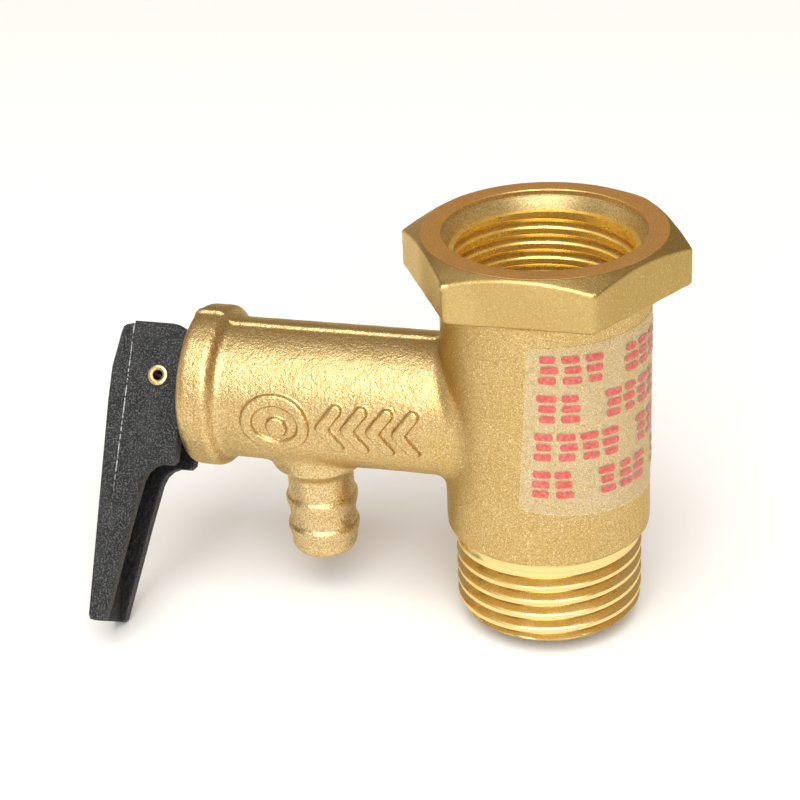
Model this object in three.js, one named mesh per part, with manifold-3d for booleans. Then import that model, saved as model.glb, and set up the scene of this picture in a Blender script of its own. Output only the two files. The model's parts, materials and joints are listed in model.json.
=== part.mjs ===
// Pressure relief valve for a storage water heater, G 1/2 socket by G 1/2 spigot.
// Millimetres. The origin is the centre of the socket's mouth, +Z runs up the main bore,
// and the relief branch with its lever points along -X.

import * as THREE from "three";
import { mergeVertices } from "three/addons/utils/BufferGeometryUtils.js";
import Module from "manifold-3d";

const wasm = await Module();
wasm.setup();

// Main body, heights along +Z.
const HEIGHT = 45.7;
const HEX_FLATS = 27;
const HEX_HEIGHT = 5.6;
const HEX_CHAMFER = 1.2;
const TOP_FACE_R = 13.05;
const BARREL_R = 11.4;
const SHOULDER_Z = -35;
const SHOULDER_BEVEL = 0.4;

// G 1/2 pipe thread.
const PITCH = 1.814;
const THREAD_MAJOR_R = 10.48;
const THREAD_MINOR_R = 9.32;
const SPIGOT_TURNS = 4;
const SPIGOT_FIRST_CREST = 1.45;
const SPIGOT_END_R = 9.6;
const SOCKET_TURNS = 6;
const SOCKET_TOP_CREST_Z = -3.1;
const SOCKET_MOUTH_R = 10.88;
const SOCKET_MOUTH_DEPTH = 0.7;
const SOCKET_CONE_TOP_R = 10.62;
const SOCKET_CONE_LOW_R = 10.15;
const SOCKET_CONE_LOW_Z = -2.5;
const SOCKET_DEPTH = 15.5;

// Water way under the socket.
const WATERWAY_R = 6.2;
const CARTRIDGE_BORE_R = 7.5;
const CARTRIDGE_TOP_Z = -27.2;
const RING_GROOVE_R = 8.2;
const RING_GROOVE_TOP_Z = -40.3;
const RING_GROOVE_HEIGHT = 1.0;

// Relief branch, distances outwards from the main axis.
const BRANCH_Z = -21.85;
const BRANCH_R = 8.05;
const BRANCH_END = 40.4;
const COLLAR_R = 9.25;
const COLLAR_START = 36.2;
const SEAT_ORIFICE_R = 2.4;
const SEAT_LIP_R = 3.3;
const CHAMBER_FLOOR = 14;
const SEAT_FACE = 15;
const CHAMBER_R = 6;
const NUT_BORE_R = 6.5;
const NUT_BORE_START = 33.5;
const RIDGE_WIDTH = 0.9;
const RIDGE_HEIGHT = 0.3;
const RIDGE_START = 9;

// Raised flow mark on the front of the branch: an oval ring and chevrons that point outwards.
const MARK_HEIGHT = 0.4;
const MARK_RING_OUT = 28.9;
const MARK_RING_LONG = 4.1;
const MARK_RING_HIGH = 3.4;
const MARK_STROKE = 1.1;
const MARK_CURVE_STEPS = 12;
const CHEVRON_COUNT = 4;
const CHEVRON_OUT = 24.2;
const CHEVRON_STEP = 2.9;
const CHEVRON_DEPTH = 1.7;
const CHEVRON_HALF = 2.2;

// Drain barb, under the branch.
const BARB_X = -26.8;
const BARB_END_Z = -42.4;
const BARB_RING_R = 4.22;
const BARB_NECK_R = 3.87;
const BARB_BORE_R = 2.6;
const BARB_NOSE = 1.3;
const BARB_RIB_HALF = 0.9;
const BARB_RIB_UP = 3.75;
const BARB_RIB_STEP = 3.7;
const BARB_STEP_UP = 10.7;
const BARB_STEP_R = 4.1;
const BARB_CONE_UP = 12.2;
const BARB_CONE_R = 5.4;
const BARB_LENGTH = 14;

// Lever, in its own frame: the pin is on the branch axis and the handle hangs along -Z.
const LEVER_SWIVEL = THREE.MathUtils.degToRad(-35);
const PIN_OUT = 44.3;
const LEVER_WIDTH = 7.8;
const CHEEK = 1.7;
const LEVER_FACE_OUT = 41;
const LEVER_BACK_OUT = 50.1;
const LEVER_TOP = 6.1;
const LEVER_LENGTH = 28.3;
const CAM_ROUND = 2.4;
const PIN_R = 1;
const STEM_R = 2;

// Warning label, angles from -Y round towards +X.
const LABEL_TOP_Z = -8.4;
const LABEL_BOTTOM_Z = -29.4;
const LABEL_FROM_DEG = -4;
const LABEL_TO_DEG = 150;
const LABEL_THICK = 0.12;

const CLEAR = 0.1;
const FINE = 40;
const COARSE = 24;

const brass = { color: 0xd2ac69, roughness: 0.5, metalness: 1 };
const brightBrass = { color: 0xe0b45c, roughness: 0.25, metalness: 1 };
const steel = { color: 0xb9bcc0, roughness: 0.3, metalness: 1 };
const rubber = { color: 0x1c1c1e, roughness: 0.8, metalness: 0 };
const whiteNylon = { color: 0xe6e4da, roughness: 0.55, metalness: 0 };
const blackPlastic = { color: 0x3a3a3c, roughness: 0.7, metalness: 0 };
const clearFilm = { color: 0xe4dcc8, roughness: 0.3, metalness: 0 };

// ---- Solids ---------------------------------------------------------------------------

function toSolid(geometry) {
  const bare = geometry.clone();
  bare.deleteAttribute("normal");
  bare.deleteAttribute("uv");
  const merged = mergeVertices(bare, 1e-3);
  return new wasm.Manifold(
    new wasm.Mesh({
      numProp: 3,
      vertProperties: merged.attributes.position.array,
      triVerts: new Uint32Array(merged.index.array),
    }),
  );
}

function toGeometry(solid) {
  const mesh = solid.getMesh();
  const positions = new THREE.BufferAttribute(mesh.vertProperties, mesh.numProp);
  const geometry = new THREE.BufferGeometry();
  geometry.setAttribute("position", positions);
  geometry.setIndex(new THREE.BufferAttribute(mesh.triVerts, 1));
  return geometry;
}

// A ring or disc turned about +Z. The outline is a list of [radius, height] points that
// runs counter-clockwise: up the outside, and down the inside or the axis.
function turned(outline, segments = FINE) {
  const points = outline.map(([radius, height]) => new THREE.Vector2(radius, height));
  points.push(points[0].clone());
  return new THREE.LatheGeometry(points, segments).rotateX(Math.PI / 2);
}

// A plain round tube; a bore of 0 makes it a rod.
function tube(outer, bore, low, high, segments = FINE) {
  const outline = [[bore, low], [outer, low], [outer, high], [bore, high]];
  return turned(outline, segments);
}

// The same shapes turned about the branch axis, with heights read as distances outwards.
function alongBranch(geometry) {
  return geometry.rotateY(-Math.PI / 2).translate(0, 0, BRANCH_Z);
}

function torus(ringRadius, sectionRadius, height, segments = FINE) {
  const outline = arc(ringRadius, height, sectionRadius, 0, 315, 7);
  return turned(outline, segments);
}

// Points of an arc, as [radius, height] pairs.
function arc(centreR, centreZ, radius, fromDeg, toDeg, steps) {
  const points = [];
  for (let i = 0; i <= steps; i++) {
    const angle = THREE.MathUtils.degToRad(fromDeg + ((toDeg - fromDeg) * i) / steps);
    points.push([centreR + radius * Math.cos(angle), centreZ + radius * Math.sin(angle)]);
  }
  return points;
}

// A sharp crest and root for each turn of a thread, going up.
function threadOutline(lowZ, turns) {
  const points = [];
  for (let turn = 0; turn < turns; turn++) {
    points.push([THREAD_MAJOR_R, lowZ + turn * PITCH]);
    points.push([THREAD_MINOR_R, lowZ + (turn + 0.5) * PITCH]);
  }
  return points;
}

function extruded(shape, depth, curveSegments = 4) {
  return new THREE.ExtrudeGeometry(shape, { depth, bevelEnabled: false, curveSegments });
}

// A compression spring about +Z whose end turns lie closed.
class CoilCurve extends THREE.Curve {
  constructor(radius, wireRadius, low, high, turns) {
    super();
    Object.assign(this, { radius, wireRadius, low, high, turns });
  }

  getPoint(t, target = new THREE.Vector3()) {
    const angle = 2 * Math.PI * this.turns * t;
    const closedTurn = 2.1 * this.wireRadius;
    const span = this.high - this.low - 2 * this.wireRadius;
    const open = (span - 2 * closedTurn) / (this.turns - 2);
    const turn = this.turns * t;
    const middle = Math.min(Math.max(turn - 1, 0), this.turns - 2);
    const rise = open * middle + closedTurn * (turn - middle);
    const height = this.low + this.wireRadius + rise;
    return target.set(this.radius * Math.cos(angle), this.radius * Math.sin(angle), height);
  }
}

function spring(radius, wireRadius, low, high, turns) {
  const section = new THREE.Shape();
  section.absarc(0, 0, wireRadius, 0, 2 * Math.PI);
  return new THREE.ExtrudeGeometry(section, {
    steps: 16 * turns,
    curveSegments: 3,
    extrudePath: new CoilCurve(radius, wireRadius, low, high, turns),
  });
}

// ---- Valve body -----------------------------------------------------------------------

function hexHead() {
  const corner = HEX_FLATS / Math.sqrt(3);
  const hexagon = new THREE.Shape();
  for (let i = 0; i < 6; i++) {
    const angle = (i * Math.PI) / 3;
    const point = [corner * Math.cos(angle), corner * Math.sin(angle)];
    i === 0 ? hexagon.moveTo(...point) : hexagon.lineTo(...point);
  }
  hexagon.closePath();
  const prism = toSolid(extruded(hexagon, HEX_HEIGHT).translate(0, 0, -HEX_HEIGHT));
  const lowBevel = 0.5;
  const chamfered = turned([
    [0, -HEX_HEIGHT],
    [corner - lowBevel, -HEX_HEIGHT],
    [corner + CLEAR, -HEX_HEIGHT + lowBevel],
    [corner + CLEAR, -HEX_CHAMFER],
    [TOP_FACE_R, 0],
    [0, 0],
  ]);
  return prism.intersect(toSolid(chamfered));
}

// The barrel and, under its square shoulder, the spigot with a plain band above the thread.
function barrel() {
  const firstCrest = -HEIGHT + SPIGOT_FIRST_CREST;
  return toSolid(turned([
    [0, -HEIGHT],
    [SPIGOT_END_R, -HEIGHT],
    ...threadOutline(firstCrest, SPIGOT_TURNS),
    [THREAD_MAJOR_R, firstCrest + SPIGOT_TURNS * PITCH],
    [THREAD_MAJOR_R, SHOULDER_Z],
    [BARREL_R - SHOULDER_BEVEL, SHOULDER_Z],
    [BARREL_R, SHOULDER_Z + SHOULDER_BEVEL],
    [BARREL_R, -HEX_HEIGHT / 2],
    [0, -HEX_HEIGHT / 2],
  ]));
}

// The branch, wider at its root inside the barrel, with a rounded collar at its end.
function branch() {
  const rootStart = 4;
  const rootFlare = 1.2;
  const flareEnd = 14.5;
  const collarRound = 1.6;
  const roundCentre = [COLLAR_R - collarRound, BRANCH_END - collarRound];
  return toSolid(alongBranch(turned([
    [0, rootStart],
    [BRANCH_R + rootFlare, rootStart],
    [BRANCH_R + rootFlare, RIDGE_START],
    [BRANCH_R + rootFlare / 3, (RIDGE_START + flareEnd) / 2],
    [BRANCH_R, flareEnd],
    [BRANCH_R, COLLAR_START - collarRound],
    [COLLAR_R, COLLAR_START],
    ...arc(...roundCentre, collarRound, 0, 75, 3),
    [roundCentre[0], BRANCH_END],
    [0, BRANCH_END],
  ])));
}

// The raised line that the forging dies leave along the top of the branch and its collar.
function partingRidge() {
  const endInset = 1.2;
  const bevel = 1;
  const collarSlope = 1.8;
  const outline = new THREE.Shape();
  outline.moveTo(-RIDGE_START, 0);
  outline.lineTo(-BRANCH_END + endInset, 0);
  outline.lineTo(-BRANCH_END + endInset, COLLAR_R - RIDGE_HEIGHT);
  outline.lineTo(-BRANCH_END + endInset + bevel, COLLAR_R + RIDGE_HEIGHT);
  outline.lineTo(-COLLAR_START, COLLAR_R + RIDGE_HEIGHT);
  outline.lineTo(-COLLAR_START + collarSlope, BRANCH_R + RIDGE_HEIGHT);
  outline.lineTo(-RIDGE_START, BRANCH_R + RIDGE_HEIGHT);
  outline.closePath();
  const plate = extruded(outline, RIDGE_WIDTH).translate(0, 0, -RIDGE_WIDTH / 2);
  return toSolid(plate.rotateX(Math.PI / 2).translate(0, 0, BRANCH_Z));
}

function flowMark() {
  const ring = new THREE.Shape();
  ring.absellipse(-MARK_RING_OUT, 0, MARK_RING_LONG, MARK_RING_HIGH, 0, 2 * Math.PI);
  const eye = new THREE.Path();
  const innerLong = MARK_RING_LONG - MARK_STROKE;
  const innerHigh = MARK_RING_HIGH - MARK_STROKE;
  eye.absellipse(-MARK_RING_OUT, 0, innerLong, innerHigh, 0, 2 * Math.PI);
  ring.holes.push(eye);
  const shapes = [ring];
  for (let i = 0; i < CHEVRON_COUNT; i++) {
    const tip = -CHEVRON_OUT + i * CHEVRON_STEP;
    const chevron = new THREE.Shape();
    chevron.moveTo(tip, 0);
    chevron.lineTo(tip + CHEVRON_DEPTH, -CHEVRON_HALF);
    chevron.lineTo(tip + CHEVRON_DEPTH + MARK_STROKE, -CHEVRON_HALF);
    chevron.lineTo(tip + MARK_STROKE, 0);
    chevron.lineTo(tip + CHEVRON_DEPTH + MARK_STROKE, CHEVRON_HALF);
    chevron.lineTo(tip + CHEVRON_DEPTH, CHEVRON_HALF);
    chevron.closePath();
    shapes.push(chevron);
  }
  const prisms = extruded(shapes, BRANCH_R + 1, MARK_CURVE_STEPS).rotateX(Math.PI / 2);
  const skin = alongBranch(tube(BRANCH_R + MARK_HEIGHT, BRANCH_R - 1, RIDGE_START, COLLAR_START));
  return toSolid(prisms.translate(0, 0, BRANCH_Z)).intersect(toSolid(skin));
}

// The drain's hose barb: a bull-nosed end, two ribs, a neck, a small step and a coned root.
function drainBarb() {
  const rib = (z) => [
    [BARB_NECK_R, z - BARB_RIB_HALF],
    [BARB_RING_R, z - BARB_RIB_HALF / 3],
    [BARB_RING_R, z + BARB_RIB_HALF / 3],
    [BARB_NECK_R, z + BARB_RIB_HALF],
  ];
  const outline = [
    [0, BARB_END_Z],
    ...arc(BARB_NECK_R - BARB_NOSE, BARB_END_Z + BARB_NOSE, BARB_NOSE, -90, 0, 4),
    ...rib(BARB_END_Z + BARB_RIB_UP),
    ...rib(BARB_END_Z + BARB_RIB_UP + BARB_RIB_STEP),
    [BARB_NECK_R, BARB_END_Z + BARB_STEP_UP],
    [BARB_STEP_R, BARB_END_Z + BARB_STEP_UP],
    [BARB_CONE_R, BARB_END_Z + BARB_CONE_UP],
    [BARB_CONE_R, BARB_END_Z + BARB_LENGTH],
    [0, BARB_END_Z + BARB_LENGTH],
  ];
  return toSolid(turned(outline, COARSE).translate(BARB_X, 0, 0));
}

function mainBore() {
  const threadLow = SOCKET_TOP_CREST_Z - (SOCKET_TURNS - 0.5) * PITCH;
  const grooveLow = RING_GROOVE_TOP_Z - RING_GROOVE_HEIGHT;
  const leadIn = 0.5;
  return toSolid(turned([
    [0, -HEIGHT - 1],
    [CARTRIDGE_BORE_R + leadIn + 1, -HEIGHT - 1],
    [CARTRIDGE_BORE_R, -HEIGHT + leadIn],
    [CARTRIDGE_BORE_R, grooveLow],
    [RING_GROOVE_R, grooveLow],
    [RING_GROOVE_R, RING_GROOVE_TOP_Z],
    [CARTRIDGE_BORE_R, RING_GROOVE_TOP_Z],
    [CARTRIDGE_BORE_R, CARTRIDGE_TOP_Z],
    [WATERWAY_R, CARTRIDGE_TOP_Z],
    [WATERWAY_R, -SOCKET_DEPTH],
    [THREAD_MINOR_R, -SOCKET_DEPTH],
    ...threadOutline(threadLow, SOCKET_TURNS),
    [SOCKET_CONE_LOW_R, SOCKET_CONE_LOW_Z],
    [SOCKET_CONE_TOP_R, -SOCKET_MOUTH_DEPTH],
    [SOCKET_MOUTH_R, -SOCKET_MOUTH_DEPTH],
    [SOCKET_MOUTH_R, 1],
    [0, 1],
  ]));
}

function reliefBore() {
  const orifice = alongBranch(tube(SEAT_ORIFICE_R, 0, WATERWAY_R - 1, SEAT_FACE + 1, COARSE));
  const chamber = alongBranch(turned([
    [0, SEAT_FACE],
    [SEAT_LIP_R, SEAT_FACE],
    [SEAT_LIP_R + 0.5, CHAMBER_FLOOR],
    [CHAMBER_R, CHAMBER_FLOOR],
    [CHAMBER_R, NUT_BORE_START],
    [NUT_BORE_R, NUT_BORE_START],
    [NUT_BORE_R, BRANCH_END + 1],
    [0, BRANCH_END + 1],
  ]));
  return toSolid(chamber).add(toSolid(orifice));
}

function drainBore() {
  const bore = tube(BARB_BORE_R, 0, BARB_END_Z - 1, BRANCH_Z - 1, COARSE);
  return toSolid(bore.translate(BARB_X, 0, 0));
}

function valveBody() {
  const forging = [hexHead(), branch(), partingRidge(), flowMark(), drainBarb()];
  const joined = forging.reduce((whole, piece) => whole.add(piece), barrel());
  const cut = joined.subtract(mainBore()).subtract(reliefBore()).subtract(drainBore());
  return toGeometry(cut);
}

// ---- Check valve cartridge ------------------------------------------------------------

const CAGE_TOP = CARTRIDGE_TOP_Z - 0.3;
const CAGE_BOTTOM = CAGE_TOP - 12.5;
const CAGE_R = CARTRIDGE_BORE_R - CLEAR;
const CAGE_BORE_R = 5.8;
const GUIDE_RECESS_R = 6.6;
const GUIDE_DEPTH = 2;
const CHECK_SEAT_Z = CAGE_BOTTOM + 1.7;
const CHECK_ORIFICE_R = 3.8;
const SEAL_THICK = 0.9;
const FLANGE_LOW = CHECK_SEAT_Z + SEAL_THICK + CLEAR;
const FLANGE_R = 4.9;
const FLANGE_THICK = 1.2;
const NOSE_R = 3.3;
const GUIDE_LOW = CAGE_TOP - GUIDE_DEPTH;
const POPPET_STEM_R = 0.9;
const CAGE_GROOVE_Z = -34.2;

function checkCage() {
  return turned([
    [CHECK_ORIFICE_R, CAGE_BOTTOM],
    [CAGE_R - 0.5, CAGE_BOTTOM],
    [CAGE_R, CAGE_BOTTOM + 0.5],
    [CAGE_R, CAGE_GROOVE_Z - 0.6],
    [CAGE_R - 0.8, CAGE_GROOVE_Z - 0.6],
    [CAGE_R - 0.8, CAGE_GROOVE_Z + 0.6],
    [CAGE_R, CAGE_GROOVE_Z + 0.6],
    [CAGE_R, CAGE_TOP],
    [GUIDE_RECESS_R, CAGE_TOP],
    [GUIDE_RECESS_R, GUIDE_LOW - CLEAR],
    [CAGE_BORE_R, GUIDE_LOW - CLEAR],
    [CAGE_BORE_R, CHECK_SEAT_Z],
    [CHECK_ORIFICE_R, CHECK_SEAT_Z],
  ]);
}

function cageSealRing() {
  return torus(CAGE_R - 0.36, 0.4, CAGE_GROOVE_Z);
}

// A hub on three arms inside a rim: it centres the poppet's stem and holds the spring.
function checkGuide() {
  const hub = toSolid(tube(1.9, 0, GUIDE_LOW, CAGE_TOP, COARSE));
  const rim = toSolid(tube(GUIDE_RECESS_R - CLEAR, 5.4, GUIDE_LOW, CAGE_TOP));
  const arms = [];
  for (let i = 0; i < 3; i++) {
    const arm = new THREE.BoxGeometry(5.4, 1.1, GUIDE_DEPTH - 0.4);
    arm.translate(2.9, 0, CAGE_TOP - GUIDE_DEPTH / 2).rotateZ((i * 2 * Math.PI) / 3);
    arms.push(toSolid(arm));
  }
  const joined = arms.reduce((whole, arm) => whole.add(arm), hub.add(rim));
  const hole = tube(POPPET_STEM_R + CLEAR, 0, GUIDE_LOW - 1, CAGE_TOP + 1, COARSE);
  return toGeometry(joined.subtract(toSolid(hole)));
}

function checkPoppet() {
  return turned([
    [0, CHECK_SEAT_Z - 0.6],
    [NOSE_R - 0.5, CHECK_SEAT_Z - 0.6],
    [NOSE_R, CHECK_SEAT_Z - 0.1],
    [NOSE_R, FLANGE_LOW],
    [FLANGE_R, FLANGE_LOW],
    [FLANGE_R, FLANGE_LOW + 0.8],
    [FLANGE_R - 0.6, FLANGE_LOW + FLANGE_THICK],
    [POPPET_STEM_R, FLANGE_LOW + FLANGE_THICK],
    [POPPET_STEM_R, CAGE_TOP - 0.4],
    [POPPET_STEM_R - 0.3, CAGE_TOP - 0.1],
    [0, CAGE_TOP - 0.1],
  ], COARSE);
}

function checkSeal() {
  const low = CHECK_SEAT_Z + CLEAR / 2;
  return tube(FLANGE_R, NOSE_R + CLEAR, low, low + SEAL_THICK, COARSE);
}

function checkSpring() {
  return spring(2.7, 0.25, FLANGE_LOW + FLANGE_THICK + CLEAR, GUIDE_LOW - CLEAR, 5);
}

// A snap ring, open at one side so that it can be squeezed into its groove.
function retainingRing() {
  const top = RING_GROOVE_TOP_Z - CLEAR;
  const ring = toSolid(tube(RING_GROOVE_R - CLEAR, 6.7, top - 0.8, top));
  const gap = new THREE.BoxGeometry(4, 2.6, 4).translate(RING_GROOVE_R - 1, 0, top);
  return toGeometry(ring.subtract(toSolid(gap)));
}

// ---- Relief valve ---------------------------------------------------------------------

const DISC_THICK = 1.6;
const DISC_R = 4.2;
const DISC_LOW = SEAT_FACE + 0.05;
const HOLDER_PLATE = DISC_LOW + DISC_THICK + 0.05;
const HOLDER_R = CHAMBER_R - 0.4;
const HOLDER_BACK = HOLDER_PLATE + 2.7;
const HUB_R = 3.2;
const HUB_END = HOLDER_BACK + 2;
const SCREW_R = 1;
const SPIGOT_R = 1.5;
const THRUST_WASHER_LOW = 33.2;
const NUT_LOW = 34;
const NUT_HIGH = 39.1;
const NUT_R = NUT_BORE_R - 0.15;
const NUT_RECESS = 1.7;
const WASHER_LOW = 39.3;

function reliefDisc() {
  return alongBranch(tube(DISC_R, SCREW_R + CLEAR, DISC_LOW, DISC_LOW + DISC_THICK, COARSE));
}

function discScrew() {
  return alongBranch(turned([
    [0, SEAT_FACE - 1.1],
    [1.5, SEAT_FACE - 1.1],
    [1.8, SEAT_FACE - 0.8],
    [1.8, SEAT_FACE],
    [SCREW_R, SEAT_FACE],
    [SCREW_R, HOLDER_BACK + 0.1],
    [0, HOLDER_BACK + 0.1],
  ], COARSE));
}

function discHolder() {
  return alongBranch(turned([
    [SCREW_R + CLEAR, HOLDER_PLATE],
    [DISC_R + CLEAR, HOLDER_PLATE],
    [DISC_R + CLEAR, DISC_LOW + 0.6],
    [HOLDER_R - 0.4, DISC_LOW + 0.6],
    [HOLDER_R, DISC_LOW + 1],
    [HOLDER_R, HOLDER_BACK],
    [HUB_R, HOLDER_BACK],
    [HUB_R, HUB_END],
    [SPIGOT_R + CLEAR, HUB_END],
    [SPIGOT_R + CLEAR, HOLDER_BACK + 0.3],
    [SCREW_R + CLEAR, HOLDER_BACK + 0.3],
  ], COARSE));
}

function reliefStem() {
  const end = PIN_OUT + 2.3;
  const rod = alongBranch(turned([
    [0, HOLDER_BACK + 0.4],
    [SPIGOT_R, HOLDER_BACK + 0.4],
    [SPIGOT_R, HUB_END + 0.05],
    [STEM_R, HUB_END + 0.05],
    [STEM_R, end - 0.5],
    [STEM_R - 0.5, end],
    [0, end],
  ], COARSE));
  const hole = tube(PIN_R + 0.05, 0, -STEM_R - 1, STEM_R + 1, COARSE);
  hole.rotateX(Math.PI / 2 + LEVER_SWIVEL).translate(-PIN_OUT, 0, BRANCH_Z);
  return toGeometry(toSolid(rod).subtract(toSolid(hole)));
}

function reliefSpring() {
  return alongBranch(spring(4.4, 0.6, HOLDER_BACK + CLEAR, THRUST_WASHER_LOW - CLEAR, 6));
}

function springThrustWasher() {
  const thick = 0.7;
  return alongBranch(tube(5.8, STEM_R + 0.3, THRUST_WASHER_LOW, THRUST_WASHER_LOW + thick, COARSE));
}

// The nut that sets the spring's load, with two slots for a pin spanner.
function adjustingNut() {
  const blank = alongBranch(turned([
    [STEM_R + 0.15, NUT_LOW],
    [NUT_R - 0.4, NUT_LOW],
    [NUT_R, NUT_LOW + 0.4],
    [NUT_R, NUT_HIGH],
    [3.4, NUT_HIGH],
    [3.4, NUT_HIGH - NUT_RECESS],
    [STEM_R + 0.15, NUT_HIGH - NUT_RECESS],
  ], COARSE));
  const slot = new THREE.BoxGeometry(1.2, 1.6, 2 * NUT_R + 1);
  slot.translate(-NUT_HIGH, 0, BRANCH_Z);
  return toGeometry(toSolid(blank).subtract(toSolid(slot)));
}

function stemSealRing() {
  return alongBranch(torus(STEM_R + 0.72, 0.55, NUT_HIGH - 1, COARSE));
}

function bearingWasher() {
  return alongBranch(tube(NUT_R - CLEAR, STEM_R + 0.2, WASHER_LOW, BRANCH_END - CLEAR, COARSE));
}

// ---- Lever ----------------------------------------------------------------------------

// Side view of the lever: x runs along the branch axis, y runs up from the pin.
function leverOutline() {
  const shape = new THREE.Shape();
  const face = -LEVER_FACE_OUT;
  const handleFillet = 2;
  shape.moveTo(face, -9.4);
  shape.lineTo(face, LEVER_TOP - CAM_ROUND);
  shape.absarc(face - CAM_ROUND, LEVER_TOP - CAM_ROUND, CAM_ROUND, 0, Math.PI / 2);
  shape.lineTo(-48, LEVER_TOP);
  shape.lineTo(-49.3, LEVER_TOP - 0.7);
  shape.lineTo(-LEVER_BACK_OUT, 0.6);
  shape.lineTo(-LEVER_BACK_OUT, -3);
  shape.lineTo(-49.1, -LEVER_LENGTH + 0.6);
  shape.quadraticCurveTo(-49, -LEVER_LENGTH, -48.4, -LEVER_LENGTH);
  shape.lineTo(-47.5, -LEVER_LENGTH);
  shape.lineTo(-47.1, -LEVER_LENGTH + 0.4);
  shape.lineTo(-45.5, -16.7);
  shape.lineTo(-44.7, -10 - handleFillet);
  shape.quadraticCurveTo(-44.4, -10, -44.4 + handleFillet, -10);
  shape.lineTo(face - 0.6, -10);
  shape.closePath();
  return shape;
}

// The hollow between the cheeks: open towards the valve, at the top and at the foot.
function leverChannel() {
  const shape = new THREE.Shape();
  const past = 2;
  shape.moveTo(-LEVER_FACE_OUT + past, -LEVER_LENGTH - past);
  shape.lineTo(-LEVER_FACE_OUT + past, LEVER_TOP + past);
  shape.lineTo(-48.2, LEVER_TOP + past);
  shape.lineTo(-48.4, -12);
  shape.lineTo(-47.4, -LEVER_LENGTH - past);
  shape.closePath();
  return shape;
}

function lever() {
  const upright = (shape, width) =>
    toSolid(extruded(shape, width).translate(0, 0, -width / 2).rotateX(Math.PI / 2));
  const block = upright(leverOutline(), LEVER_WIDTH);
  const channel = upright(leverChannel(), LEVER_WIDTH - 2 * CHEEK);
  const hole = tube(PIN_R + 0.05, 0, -LEVER_WIDTH, LEVER_WIDTH, COARSE);
  hole.rotateX(Math.PI / 2).translate(-PIN_OUT, 0, 0);
  return toGeometry(block.subtract(channel).subtract(toSolid(hole)));
}

// A tubular rivet with its two ends rolled over the cheeks.
function hingePin() {
  const half = LEVER_WIDTH / 2 + 0.03;
  const rim = 0.2;
  const bore = 0.5;
  return turned([
    [bore, -half - rim],
    [PIN_R + 0.3, -half - rim],
    [PIN_R + 0.3, -half],
    [PIN_R, -half],
    [PIN_R, half],
    [PIN_R + 0.3, half],
    [PIN_R + 0.3, half + rim],
    [bore, half + rim],
  ], 16).rotateX(Math.PI / 2).translate(-PIN_OUT, 0, 0);
}

// ---- Label ----------------------------------------------------------------------------

function warningLabel() {
  const inner = BARREL_R + 0.05;
  const from = THREE.MathUtils.degToRad(LABEL_FROM_DEG - 90);
  const to = THREE.MathUtils.degToRad(LABEL_TO_DEG - 90);
  const sector = new THREE.Shape();
  sector.absarc(0, 0, inner + LABEL_THICK, from, to, false);
  sector.absarc(0, 0, inner, to, from, true);
  sector.closePath();
  return extruded(sector, LABEL_TOP_Z - LABEL_BOTTOM_Z, 24).translate(0, 0, LABEL_BOTTOM_Z);
}

// ---- Assembly -------------------------------------------------------------------------

function piece(name, geometry, look) {
  const mesh = new THREE.Mesh(geometry, new THREE.MeshStandardMaterial(look));
  mesh.name = name;
  return mesh;
}

const valve = new THREE.Group();
valve.add(
  piece("valve_body", valveBody(), brass),
  piece("warning_label", warningLabel(), clearFilm),
);

const checkValve = new THREE.Group();
checkValve.add(
  piece("check_cage", checkCage(), whiteNylon),
  piece("check_guide", checkGuide(), whiteNylon),
  piece("cage_seal_ring", cageSealRing(), rubber),
  piece("check_poppet", checkPoppet(), whiteNylon),
  piece("check_seal", checkSeal(), rubber),
  piece("check_spring", checkSpring(), steel),
  piece("retaining_ring", retainingRing(), steel),
);

const reliefValve = new THREE.Group();
reliefValve.add(
  piece("relief_disc", reliefDisc(), rubber),
  piece("disc_screw", discScrew(), steel),
  piece("disc_holder", discHolder(), brightBrass),
  piece("relief_stem", reliefStem(), brightBrass),
  piece("relief_spring", reliefSpring(), steel),
  piece("spring_thrust_washer", springThrustWasher(), steel),
  piece("adjusting_nut", adjustingNut(), brightBrass),
  piece("stem_seal_ring", stemSealRing(), rubber),
  piece("bearing_washer", bearingWasher(), steel),
);

const leverGroup = new THREE.Group();
leverGroup.position.z = BRANCH_Z;
leverGroup.rotation.x = LEVER_SWIVEL;
leverGroup.add(
  piece("lever", lever(), blackPlastic),
  piece("hinge_pin", hingePin(), brightBrass),
);

valve.add(checkValve, reliefValve, leverGroup);

export default valve;
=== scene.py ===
"""Pressure relief valve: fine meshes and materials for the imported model, in its own frame.

Sizes are in millimetres, and make_piece turns them into the scene's metres.
"""

import json
import math

import bmesh
import bpy
import numpy as np
from mathutils import Matrix, Vector


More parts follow.
